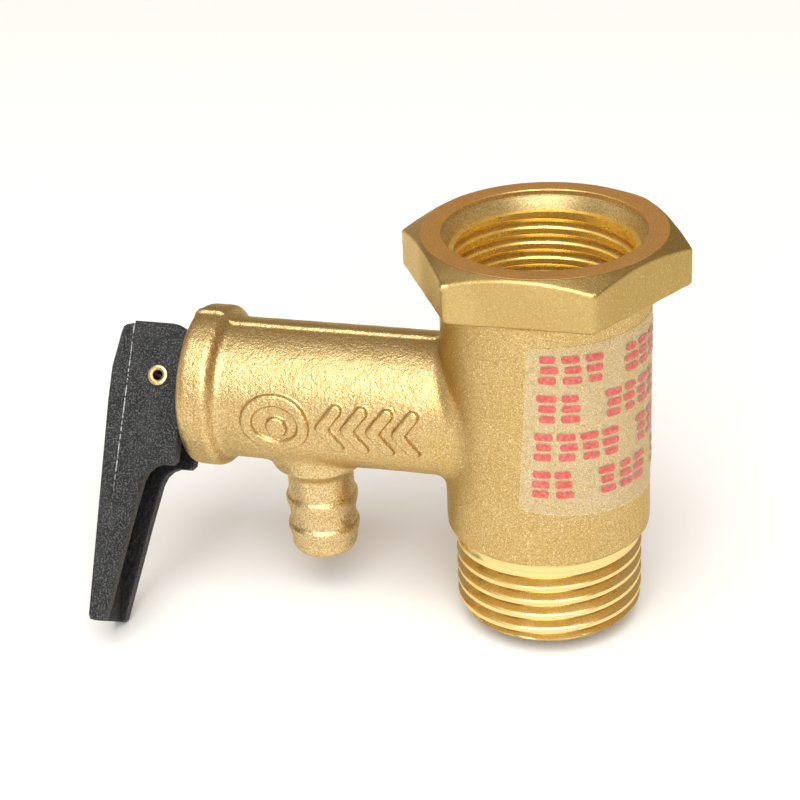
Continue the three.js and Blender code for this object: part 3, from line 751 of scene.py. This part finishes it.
def skin_depth(x, y, z):
    """How far the uneven skin lies under the nominal surface."""
    wave = (np.sin(0.61 * x + 1.1 * y + 0.3) * np.sin(0.83 * z + 0.7 * y)
            + 0.6 * np.sin(1.7 * x - 0.9 * z + 1.0) * np.sin(1.3 * y + 1.1 * z))
    return SKIN_DEPTH + SKIN_WAVE * wave


def barrel_distance(radius, z):
    """The barrel with the square shoulder at its foot."""
    barrel = smooth_max(radius - BARREL_R, SHOULDER_Z - z, SHOULDER_ROUND)
    return np.maximum(barrel, z - BARREL_TOP_Z)


def branch_distance(y, up, out, axial):
    """Branch and collar with the parting ridge and, on the front, the raised mark."""
    inner, outer = (RIDGE_HALF + edge for edge in SOFT_EDGE)
    ridge = RIDGE_HEIGHT * (1.0 - ramp(inner, outer, np.abs(y)))
    ridge = ridge * (axial > CHAMBER_R - 1) * ramp(*RIDGE_FADE, out)
    mark = 1.0 - ramp(*SOFT_EDGE, mark_distance(out, BRANCH_R * np.arctan2(up, -y)))
    branch = axial - BRANCH_R - ridge - MARK_HEIGHT * mark
    branch = np.maximum(branch, np.maximum(BRANCH_START - out, out - COLLAR_START - 1.0))
    collar = smooth_max(axial - COLLAR_R - ridge, out - BRANCH_END, COLLAR_END_ROUND)
    back = (COLLAR_START - out + COLLAR_LEAN * (axial - BRANCH_R)) / COLLAR_LEAN_LENGTH
    collar = smooth_max(collar, back, COLLAR_BACK_ROUND)
    return smooth_min(branch, collar, COLLAR_FILLET)


def barb_distance(barb_radius, z):
    """Drain barb with its saw-tooth rings, a small step and a coned root."""
    step_low, step_high = BARB_STEP_Z - BARB_STEP_HALF, BARB_STEP_Z + BARB_STEP_HALF
    swell = BARB_NECK_R + BARB_STEP * ramp(step_low, step_high, z)
    for top in BARB_RING_TOPS:
        taper = 1.0 - ramp(*BARB_RING_TAPER, top - z)
        swell = swell + BARB_BULGE * ramp(*BARB_RING_EDGE, top - z) * taper
    swell = swell + np.clip(z - BARB_STEP_Z - 0.2, 0.0, BARB_ROOT_FLARE)
    barb = smooth_max((barb_radius - swell) * BARB_SLOPE, BARB_END_Z - z, BARB_TIP_ROUND)
    return np.maximum(barb, z - BRANCH_Z)


def hexagon_distance(x, y, z, radius):
    """The hexagon with its coned top edge."""
    ax, ay = np.abs(x), np.abs(y)
    slanted = ax * (math.sqrt(3) / 2) + ay * 0.5 - HEX_FLATS / 2
    hexagon = smooth_max(slanted, ay - HEX_FLATS / 2, HEX_CORNER_ROUND)
    run, rise = HEX_CORNER - TOP_FACE_R, CHAMFER_DROP
    cone = ((radius - TOP_FACE_R) * rise + z * run) / math.hypot(run, rise)
    hexagon = smooth_max(hexagon, cone, HEX_TOP_ROUND)
    return smooth_max(hexagon, -HEX_HEIGHT - z, HEX_FOOT_ROUND)


def forging_distance(x, y, z):
    """Signed distance to the forging, in millimetres."""
    radius, barb_radius = np.hypot(x, y), np.hypot(x - BARB_X, y)
    out, up = -x, z - BRANCH_Z
    axial = np.hypot(y, up)
    nub = np.sqrt((x - NUB[0]) ** 2 + (y - NUB[1]) ** 2 + (z - NUB[2]) ** 2) - NUB_R
    barrel, branch = barrel_distance(radius, z), branch_distance(y, up, out, axial)
    whole = smooth_min(barrel, branch, BRANCH_FILLET)
    whole = smooth_min(whole, barb_distance(barb_radius, z), BARB_FILLET)
    whole = smooth_min(whole, hexagon_distance(x, y, z, radius), HEX_FILLET)
    whole = smooth_min(whole, nub, NUB_FILLET) + skin_depth(x, y, z)
    whole = np.maximum(whole, z + TOP_RECESS)
    return np.maximum(whole, -bores_distance(z, radius, axial, out, barb_radius))


def bores_distance(z, radius, axial, out, barb_radius):
    """Distance to the space that is bored out of the forging."""
    socket = np.maximum(radius - MOUTH_R - 0.02, SOCKET_FLOOR_Z - 0.05 - z)
    waterway = radius - WATERWAY_R
    cartridge = np.maximum(radius - CARTRIDGE_R, z - CARTRIDGE_TOP_Z)
    chamber = np.maximum(axial - CHAMBER_R, CHAMBER_START - out)
    nut_bore = np.maximum(axial - NUT_BORE_R, NUT_BORE_START - out)
    orifice = np.maximum(axial - ORIFICE_R, np.maximum(-out, out - CHAMBER_START - 1))
    drain = np.maximum(barb_radius - BARB_BORE_R, z - BRANCH_Z)
    best = np.minimum(np.minimum(socket, waterway), np.minimum(cartridge, chamber))
    return np.minimum(np.minimum(best, nut_bore), np.minimum(orifice, drain))


def build_forging(material):
    room = 0.9
    low, high = BODY_LOW - room, BODY_HIGH + room
    low[2] = BARB_END_Z - room
    net_piece("forged_body", forging_distance, low, high, BODY_STEPS, material, "valve",
              "forged_brass", ["valve_body"])


# ---- Machined ends ----

COLUMNS = 192
ROUND = np.linspace(0.0, 2 * math.pi, COLUMNS + 1)
ROWS_PER_PITCH = 24
SOCKET_THREAD = {"crest_half": 0.42, "depth": 0.80, "root_round": 0.35, "crest_round": 0.30}
SOCKET_CREST_Z = -3.55
SOCKET_LEAD_SLOPE = 14.0
UNDERCUT_R = 10.5
SPIGOT_THREAD = {"crest_half": 0.25, "depth": 1.12, "root_round": 0.8, "crest_round": 0.12}
SPIGOT_CREST_RISE = 7.35
SPIGOT_CREST_TURN = math.radians(6)
SPIGOT_LEAD_R = 9.55
SPIGOT_LEAD_SLOPE = 0.95
SPIGOT_RUNOUT = 1.0
SNAP_GROOVE_DEPTH = 0.7
INLET_FACE_R = 9.5
INLET_CHAMFER = 0.45


def thread_depth(offset, crest_half, depth, root_round, crest_round):
    """Depth below the crest of a pipe thread, at a distance from the crest's middle."""
    flank = (abs(offset) - crest_half) / math.tan(math.radians(FLANK_DEGREES))
    return smooth_min(smooth_max(flank, 0.0, crest_round), depth, root_round)


def helix_rows(low, high, crest_at_front):
    """Rows down a right-hand helix: the heights of each and its distance from the crest."""
    first = math.floor((low - crest_at_front) / PITCH) - 2
    last = math.ceil((high - crest_at_front) / PITCH) + 1
    rows = []
    for turn in range(first, last + 1):
        for k in range(ROWS_PER_PITCH):
            offset = (k / ROWS_PER_PITCH - 0.5) * PITCH
            height = crest_at_front + (turn + ROUND / (2 * math.pi)) * PITCH + offset
            rows.append((np.clip(height, low, high), offset))
    return rows[::-1]


def plain_rows(profile):
    """A turned row for each (radius, height) of a profile."""
    return [(np.full(COLUMNS + 1, float(r)), np.full(COLUMNS + 1, float(z)))
            for r, z in profile]


def from_rows(rows):
    """Vertices and faces of rows, each a (radii, heights) pair from -Y round to -Y."""
    points = [np.stack([r * np.sin(ROUND), -r * np.cos(ROUND), h], 1) for r, h in rows]
    return np.concatenate(points), grid_faces(len(rows), COLUMNS + 1, closed=False)


def build_top_ring(material):
    outline = [(TOP_FACE_R + 0.02, -0.04), (TOP_FACE_R - 0.03, -0.005), (TOP_FACE_R - 0.1, 0.0),
               (MOUTH_R + 0.12, 0.0), (MOUTH_R + 0.03, -0.03), (MOUTH_R, -0.12)]
    vertices, faces = turned_points(outline, COLUMNS, closed_outline=False)
    make_piece("top_ring", vertices, faces[:, ::-1], material, "valve", "turned_brass")


def build_mouth(material):
    """The blasted mouth of the socket: a short bore, a small step and a cone."""
    rows = plain_rows([
        (MOUTH_R, -0.12), (MOUTH_R, -MOUTH_DEPTH + 0.04), (MOUTH_R - 0.05, -MOUTH_DEPTH),
        (SOCKET_CONE_TOP_R, -MOUTH_DEPTH), (SOCKET_CONE_TOP_R - 0.03, -MOUTH_DEPTH - 0.05),
        (SOCKET_CONE_LOW_R + 0.02, SOCKET_CONE_LOW_Z),
        (SOCKET_CONE_LOW_R - 0.06, SOCKET_CONE_LOW_Z - 0.04)])
    vertices, faces = from_rows(rows)
    sharpen(make_piece("socket_mouth", vertices, faces[:, ::-1], material, "valve",
                       "forged_brass"))


def build_socket_thread(material):
    """The thread under the mouth, the undercut below it and the waterway's start."""
    thread_low = SOCKET_FLOOR_Z + 0.9
    rows = []
    for heights, offset in helix_rows(thread_low, SOCKET_CONE_LOW_Z, SOCKET_CREST_Z):
        fade = 1.0 - ramp(SOCKET_CONE_LOW_Z - 0.75, SOCKET_CONE_LOW_Z - 0.15, heights)
        radius = SOCKET_CREST_R + thread_depth(offset, **SOCKET_THREAD) * fade
        lead = SOCKET_CONE_LOW_R - (SOCKET_CONE_LOW_Z - heights) * SOCKET_LEAD_SLOPE
        rows.append((np.maximum(radius, lead), heights))
    rows += plain_rows([
        (UNDERCUT_R, thread_low), (UNDERCUT_R, SOCKET_FLOOR_Z + 0.1),
        (UNDERCUT_R - 0.1, SOCKET_FLOOR_Z), (WATERWAY_R + 0.3, SOCKET_FLOOR_Z),
        (WATERWAY_R, SOCKET_FLOOR_Z - 0.3), (WATERWAY_R, SOCKET_FLOOR_Z - 1.0)])
    vertices, faces = from_rows(rows)
    piece = make_piece("socket_thread", vertices, faces[:, ::-1], material, "valve",
                       "turned_brass")
    weld(piece)
    sharpen(piece)


def build_spigot(material):
    """The external thread under the shoulder, its end face and the inlet bore."""
    top = SHOULDER_Z + 0.2
    crest = INLET_END_Z + SPIGOT_CREST_RISE - PITCH * SPIGOT_CREST_TURN / (2 * math.pi)
    groove_end = SHOULDER_Z - SPIGOT_RUNOUT
    rows = plain_rows([(THREAD_MAJOR_R - 0.6, top + 0.6), (THREAD_MAJOR_R - 0.3, top)])
    for heights, offset in helix_rows(INLET_END_Z + 0.02, SHOULDER_Z, crest):
        root = heights - offset + math.copysign(PITCH / 2, offset if offset else -1.0)
        fade = 1.0 - ramp(groove_end - 0.35, groove_end + 0.35, root)
        radius = THREAD_MAJOR_R - thread_depth(offset, **SPIGOT_THREAD) * fade
        lead = SPIGOT_LEAD_R + (heights - INLET_END_Z) * SPIGOT_LEAD_SLOPE
        rows.append((np.minimum(radius, lead), heights))
    groove_r, groove_top = CARTRIDGE_R + SNAP_GROOVE_DEPTH, CAGE_LOW[2] - 0.3
    groove_low = groove_top - 1.0
    rows += plain_rows([
        (INLET_FACE_R, INLET_END_Z), (CARTRIDGE_R + INLET_CHAMFER, INLET_END_Z),
        (CARTRIDGE_R, INLET_END_Z + INLET_CHAMFER), (CARTRIDGE_R, groove_low),
        (groove_r, groove_low), (groove_r, groove_top), (CARTRIDGE_R, groove_top),
        (CARTRIDGE_R, SHOULDER_Z + 0.5)])
    vertices, faces = from_rows(rows)
    piece = make_piece("spigot_thread", vertices, faces, material, "valve", "turned_brass")
    weld(piece)
    sharpen(piece)


# ---- Lever and its pin ----

LEVER_FACE_X = -41.0
LEVER_OUTLINE = [
    (LEVER_FACE_X, -9.5), (LEVER_FACE_X, 3.7), (-41.1, 4.45), (-41.4, 5.1), (-41.95, 5.65),
    (-42.6, 5.98), (-43.4, 6.1), (SEAM_X, 6.1), (SEAM_X, 5.86), (-48.9, 5.62), (-49.3, 5.35),
    (-49.5, 4.6), (-50.1, 0.6), (-50.1, -3.0), (-49.1, -27.7), (-48.9, -28.2), (-48.4, -28.3),
    (-47.4, -28.3), (-47.1, -27.9), (-45.5, -16.7), (-44.75, -12.1), (-44.35, -11.1),
    (-43.7, -10.4), (-42.9, -10.05), (-41.5, -10.0),
]
CHANNEL_OUTLINE = [
    (-39.0, -30.3), (-39.0, 8.1), (-48.2, 8.1), (-48.4, -12.0), (-47.5, -28.0), (-47.3, -30.3),
]
LEVER_REACH = ((-50.8, -4.6, -29.0), (-40.4, 4.6, 6.8))
LEVER_EDGE_ROUND = 0.35
CHANNEL_EDGE_ROUND = 0.3


def lever_distance(x, y, z):
    """The lever in its own frame: a plate cut out by the channel and the rivet's hole."""
    side = np.abs(y)
    plate = outline_distance(x, z, LEVER_OUTLINE)
    plate = smooth_max(plate, side - LEVER_HALF, LEVER_EDGE_ROUND)
    channel = np.maximum(outline_distance(x, z, CHANNEL_OUTLINE), side - CHANNEL_HALF)
    hole = np.hypot(x - PIN_X, z) - PIN_HOLE_R
    return np.maximum(smooth_max(plate, -channel, CHANNEL_EDGE_ROUND), -hole)


def build_lever(material):
    net_piece("lift_lever", lever_distance, *LEVER_REACH, SMALL_STEPS, material, "lever",
              "black_plastic", ["lever"], lever_place)


def build_pin(material):
    """A hollow rivet with rolled rims, turned about Z and then laid along the lever's Y."""
    half = LEVER_HALF + 0.03
    rim = [(0.5, -0.02), (0.62, -0.17), (0.85, -0.22), (1.12, -0.16), (1.24, -0.04), (1.12, 0.0),
           (1.0, 0.0)]
    outline = [(r, -half + rise) for r, rise in rim]
    outline += [(r, -z) for r, z in reversed(outline)]
    vertices, faces = turned_points(outline, 48)

    def place(points):
        x, y, z = points.T
        return lever_place(np.stack([x + PIN_X, z, -y], 1))

    make_piece("rolled_pin", vertices, faces, material, "lever", "turned_brass",
               ["hinge_pin"], place)


# ---- Stem, washer and springs ----

CLOSED_PITCH = 2.04


def stem_distance(x, y, z):
    """The stem in the lever's frame, with the rivet's hole across its end."""
    out, radius = -x, np.hypot(y, z)
    cone = (radius + out - STEM_R - STEM_END + STEM_CHAMFER) / math.sqrt(2)
    ends = np.maximum(STEM_START - out, out - STEM_END)
    stem = smooth_max(radius - STEM_R, cone, STEM_EDGE_ROUND)
    stem = smooth_max(stem, ends, STEM_EDGE_ROUND)
    return smooth_max(stem, PIN_HOLE_R - np.hypot(x - PIN_X, z), PIN_HOLE_ROUND)


def build_stem(material):
    room = 0.6
    low = (-STEM_END - room, -STEM_R - room, -STEM_R - room)
    high = (-STEM_START + room, STEM_R + room, STEM_R + room)
    net_piece("stem", stem_distance, low, high, SMALL_STEPS, material, "stem", "turned_brass",
              ["relief_stem"], lever_place)


def build_washer(material):
    low, high = -WASHER_HIGH[0], -WASHER_LOW[0]
    inner, outer = STEM_R + 0.2, (WASHER_HIGH[1] - WASHER_LOW[1]) / 2
    outline = rounded([(inner, low), (outer, low), (outer, high), (inner, high)], 0.12)
    vertices, faces = turned_points(outline, 72)
    piece = make_piece("cam_washer", vertices, faces, material, "swivel", "steel",
                       ["bearing_washer"], along_branch)
    sharpen(piece, 40)


def coil_points(radius, wire, low, high, turns, sides=14, per_turn=40):
    """A compression spring about +Z with closed end turns; wire is the wire's radius."""
    turn = np.linspace(0.0, turns, turns * per_turn + 1)
    closed = CLOSED_PITCH * wire
    span = high - low - 2 * wire
    middle = np.clip(turn - 1, 0, turns - 2)
    rise = (span - 2 * closed) / (turns - 2) * middle + closed * (turn - middle)
    angle = 2 * math.pi * turn
    rows = []
    for k in range(sides):
        side = 2 * math.pi * k / sides
        r = radius + wire * math.cos(side)
        h = low + wire + rise + wire * math.sin(side)
        rows.append(np.stack([r * np.cos(angle), r * np.sin(angle), h], 1))
    return np.stack(rows, 1).reshape(-1, 3), grid_faces(len(turn), sides)


def shorten(coil):
    """Gives the coil a mesh of its own."""
    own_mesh(coil)


def build_relief_spring(material):
    low, high = -RELIEF_HIGH[0], -RELIEF_LOW[0]
    vertices, faces = coil_points(4.4, 0.6, low, high, 6)
    coil = make_piece("relief_coil", vertices, faces, material, "valve", "steel",
                      ["relief_spring"], along_branch)
    shorten(coil)


def build_check_spring(material):
    low, high = CHECK_LOW[2], CHECK_HIGH[2]
    vertices, faces = coil_points(2.7, 0.25, low, high, 5)
    coil = make_piece("check_coil", vertices, faces, material, "valve", "steel",
                      ["check_spring"])
    shorten(coil)


# ---- Label ----

LABEL_R = 11.47
LABEL_TO = 149.7
LABEL_TOP_Z = LABEL_HIGH[2] - 0.03
LABEL_CORNER = 0.15
LABEL_LEFT, LABEL_LEFT_DRIFT, LABEL_LEFT_DROP = 1.8, 5.6, 19.0
LABEL_FOOT = ((-3.8, -27.5), (0.0, -27.85), (40.0, -28.8), (73.0, -29.3))
LABEL_ROWS, LABEL_COLUMNS = 25, 97
BAR_HALF = 0.42
BAR_COLUMNS = 13
BAR_SHIFTS = (1.2, 0.0, -1.2)
BAR_FALL = 0.012
PRINT_R = LABEL_R + 0.006
BLOCK_STEP, BLOCK_WIDTH = 12.6, 11.7
RAGGED = 2.2
PRINT_LINES = (  # middle's height, first block's angle, and which places hold a block
    (-10.8, 6.8, "11101111101"), (-15.3, 5.6, "11011110111"),
    (-19.85, 4.1, "11110111011"), (-24.35, 2.0, "11011101111"),
)


def label_left(z):
    """The angle of the film's slanting left edge at a height."""
    return LABEL_LEFT - LABEL_LEFT_DRIFT * (LABEL_TOP_Z - z) / LABEL_LEFT_DROP


def label_bottom(angles):
    """The film's lower edge, which falls a little towards the right."""
    return np.interp(angles, *zip(*LABEL_FOOT))


def wrapped(angles, heights, radius):
    """Points round the barrel; angles are in degrees from -Y towards +X."""
    a = np.radians(angles)
    return np.stack([radius * np.sin(a), -radius * np.cos(a), heights], -1)


def film_patch():
    """The film's sheet round the barrel, with small round corners on its left."""
    rows = []
    height = LABEL_TOP_Z - label_bottom(0.0)
    for share in np.linspace(0.0, 1.0, LABEL_ROWS):
        drop = share * height
        to_corner = max(0.0, LABEL_CORNER - min(drop, height - drop))
        inset = LABEL_CORNER - math.sqrt(max(0.0, LABEL_CORNER ** 2 - to_corner ** 2))
        start = label_left(LABEL_TOP_Z - drop) + math.degrees(inset / LABEL_R)
        angles = start + (LABEL_TO - start) * np.linspace(0.0, 1.0, LABEL_COLUMNS)
        heights = LABEL_TOP_Z - share * (LABEL_TOP_Z - label_bottom(angles))
        rows.append(wrapped(angles, heights, LABEL_R))
    return np.concatenate(rows), grid_faces(LABEL_ROWS, LABEL_COLUMNS, closed=False)


def bar_patch(start, stop, middle):
    """A short printed bar with round ends, on a line that falls a little to the right."""
    reach = math.degrees(0.6 * BAR_HALF / LABEL_R)
    angles = np.linspace(start, stop, BAR_COLUMNS)
    inset = np.minimum(angles - start, stop - angles)
    t = np.clip(1.0 - inset / reach, 0.0, 1.0)
    thick = BAR_HALF * (0.55 + 0.45 * np.sqrt(1.0 - t * t))
    line = middle - BAR_FALL * angles
    rows = [wrapped(angles, line + thick * side, PRINT_R) for side in (-1.0, 0.0, 1.0)]
    return np.concatenate(rows), grid_faces(3, BAR_COLUMNS, closed=False)


def build_label(film, print_material):
    """The film, and lines of print on it that are blocks of three ragged bars."""
    vertices, faces = film_patch()
    make_piece("label_film", vertices, faces[:, ::-1], film, "valve", "clear_film",
               ["warning_label"])
    chance = np.random.default_rng(7)
    points, quads, count = [], [], 0
    for middle, start, places in PRINT_LINES:
        lefts = [start + k * BLOCK_STEP for k, place in enumerate(places) if place == "1"]
        for left in lefts:
            for shift in BAR_SHIFTS:
                inset_left, inset_right = chance.uniform(0.0, RAGGED, 2)
                right = left + BLOCK_WIDTH - inset_right
                bar, faces = bar_patch(left + inset_left, right, middle + shift)
                points.append(bar)
                quads.append(faces + count)
                count += len(bar)
    make_piece("label_print", np.concatenate(points), np.concatenate(quads), print_material,
               "valve", "clear_film")


# ---- Stage ----

TARGET = Vector((-16.75, 0.0, -21.94)) * MM
AZIMUTH, ELEVATION, ROLL = (math.radians(a) for a in (16.64, 27.79, -3.09))
DISTANCE = 219.9 * MM
SENSOR = 36.0
FOCAL_PIXELS = 1962.0
IMAGE_PIXELS = 800
FLOOR_HALF = 1.0
AMBIENT = (1.0, 0.82, 0.66, 1.0)
AMBIENT_STRENGTH = 0.42
BACKDROP = (1.0, 0.995, 0.98, 1.0)
COOL = (0.90, 0.97, 1.0)


def facing(azimuth, elevation):
    """The direction out to an angle; azimuth 0 is in front of the valve, at -Y."""
    level = math.cos(elevation)
    return Vector((math.sin(azimuth) * level, -math.cos(azimuth) * level, math.sin(elevation)))


def add_camera():
    back = facing(AZIMUTH, ELEVATION)
    right = Vector((math.cos(AZIMUTH), math.sin(AZIMUTH), 0.0))
    up = back.cross(right)
    rolled_right = right * math.cos(ROLL) + up * math.sin(ROLL)
    rolled_up = up * math.cos(ROLL) - right * math.sin(ROLL)
    turn = Matrix((rolled_right, rolled_up, back)).transposed().to_4x4()
    data = bpy.data.cameras.new("camera")
    data.sensor_width = SENSOR
    data.lens = SENSOR * FOCAL_PIXELS / IMAGE_PIXELS
    data.clip_start = 0.01
    data.clip_end = 20.0
    camera = bpy.data.objects.new("camera", data)
    camera.matrix_world = Matrix.Translation(TARGET + back * DISTANCE) @ turn
    bpy.context.scene.collection.objects.link(camera)
    bpy.context.scene.camera = camera


def add_light(name, azimuth, elevation, distance, size, power, colour=COOL):
    """An area light that faces the valve; its place is in degrees and metres."""
    away = facing(math.radians(azimuth), math.radians(elevation))
    data = bpy.data.lights.new(name, "AREA")
    data.shape = "RECTANGLE"
    data.size, data.size_y = size
    data.energy = power
    data.color = colour
    light = bpy.data.objects.new(name, data)
    light.location = TARGET + away * distance
    light.rotation_euler = away.to_track_quat("Z", "Y").to_euler()
    bpy.context.scene.collection.objects.link(light)


def add_floor():
    low = cad_bounds[0][2]
    mesh = bpy.data.meshes.new("floor")
    corners = [(FLOOR_HALF * x, FLOOR_HALF * y, low) for x, y in
               ((-1, -1), (1, -1), (1, 1), (-1, 1))]
    mesh.from_pydata(corners, [], [(0, 1, 2, 3)])
    mesh.materials.append(pale_floor())
    floor = bpy.data.objects.new("floor", mesh)
    bpy.context.scene.collection.objects.link(floor)


def add_world():
    """A dim warm light from all round, behind a backdrop that the camera sees as white."""
    world = bpy.data.worlds.new("studio")
    world.use_nodes = True
    nodes, links = world.node_tree.nodes, world.node_tree.links
    ambient = nodes["Background"]
    ambient.inputs["Color"].default_value = AMBIENT
    ambient.inputs["Strength"].default_value = AMBIENT_STRENGTH
    backdrop = nodes.new("ShaderNodeBackground")
    backdrop.inputs["Color"].default_value = BACKDROP
    blend = nodes.new("ShaderNodeMixShader")
    links.new(nodes.new("ShaderNodeLightPath").outputs["Is Camera Ray"], blend.inputs[0])
    links.new(ambient.outputs[0], blend.inputs[1])
    links.new(backdrop.outputs[0], blend.inputs[2])
    links.new(blend.outputs[0], nodes["World Output"].inputs["Surface"])
    bpy.context.scene.world = world


def add_stage():
    add_floor()
    add_world()
    add_light("key", 12, 50, 1.2, (1.1, 1.45), 20.0, (0.94, 0.98, 1.0))
    add_light("top", -55, 74, 1.8, (1.6, 1.2), 5.0)
    add_light("left", -75, 25, 1.2, (0.7, 1.0), 1.0)
    add_light("fill", 5, 16, 1.3, (1.3, 0.5), 2.0)
    bpy.context.scene.view_settings.view_transform = "Standard"


# ---- Assembly ----


def dress_nodes(looks):
    """Gives each CAD node that stays in view the material of its slot."""
    for part in frame["record"]["subparts"]:
        node = frame["nodes"][part["node"]]
        material = looks[part["material_slot"]]
        if node.material_slots:
            for place in node.material_slots:
                place.material = material
        else:
            node.data.materials.append(material)


looks = {
    "forged_brass": blasted_brass(),
    "mouth": mouth_brass(),
    "turned_brass": turned_brass("bright brass", (0.95, 0.73, 0.33), (0.86, 0.60, 0.22),
                                 0.18, 0.32),
    # The socket and spigot thread looks get painted shade on the faces that point down.
    "golden": turned_brass("socket brass", (1.0, 0.75, 0.22), (0.96, 0.66, 0.16), 0.24, 0.34,
                           stained=0.05, metal=0.88, underside_shade=0.6),
    "thread": turned_brass("thread brass", (0.93, 0.73, 0.34), (0.84, 0.60, 0.23), 0.20, 0.32,
                           stained=0.2, underside_shade=0.65),
    "rivet": rivet_brass(),
    "ring": turned_brass("machined ring", (1.0, 0.62, 0.23), (0.90, 0.51, 0.165), 0.30, 0.44,
                         stained=0.5, speckled=0.5),
    "pale": turned_brass("pale brass", (0.90, 0.72, 0.40), (0.66, 0.46, 0.19), 0.22, 0.36),
    "black_plastic": lever_plastic(),
    "steel": steel(),
    "rubber": rubber(),
    "white_nylon": white_nylon(),
    "clear_film": label_film(),
    "print": red_print(),
}

add_camera()
add_stage()
dress_nodes(looks)
build_forging(looks["forged_brass"])
build_top_ring(looks["ring"])
build_mouth(looks["mouth"])
build_socket_thread(looks["golden"])
build_spigot(looks["thread"])
build_lever(looks["black_plastic"])
build_pin(looks["rivet"])
build_stem(looks["pale"])
build_washer(looks["steel"])
build_relief_spring(looks["steel"])
build_check_spring(looks["steel"])
build_label(looks["clear_film"], looks["print"])
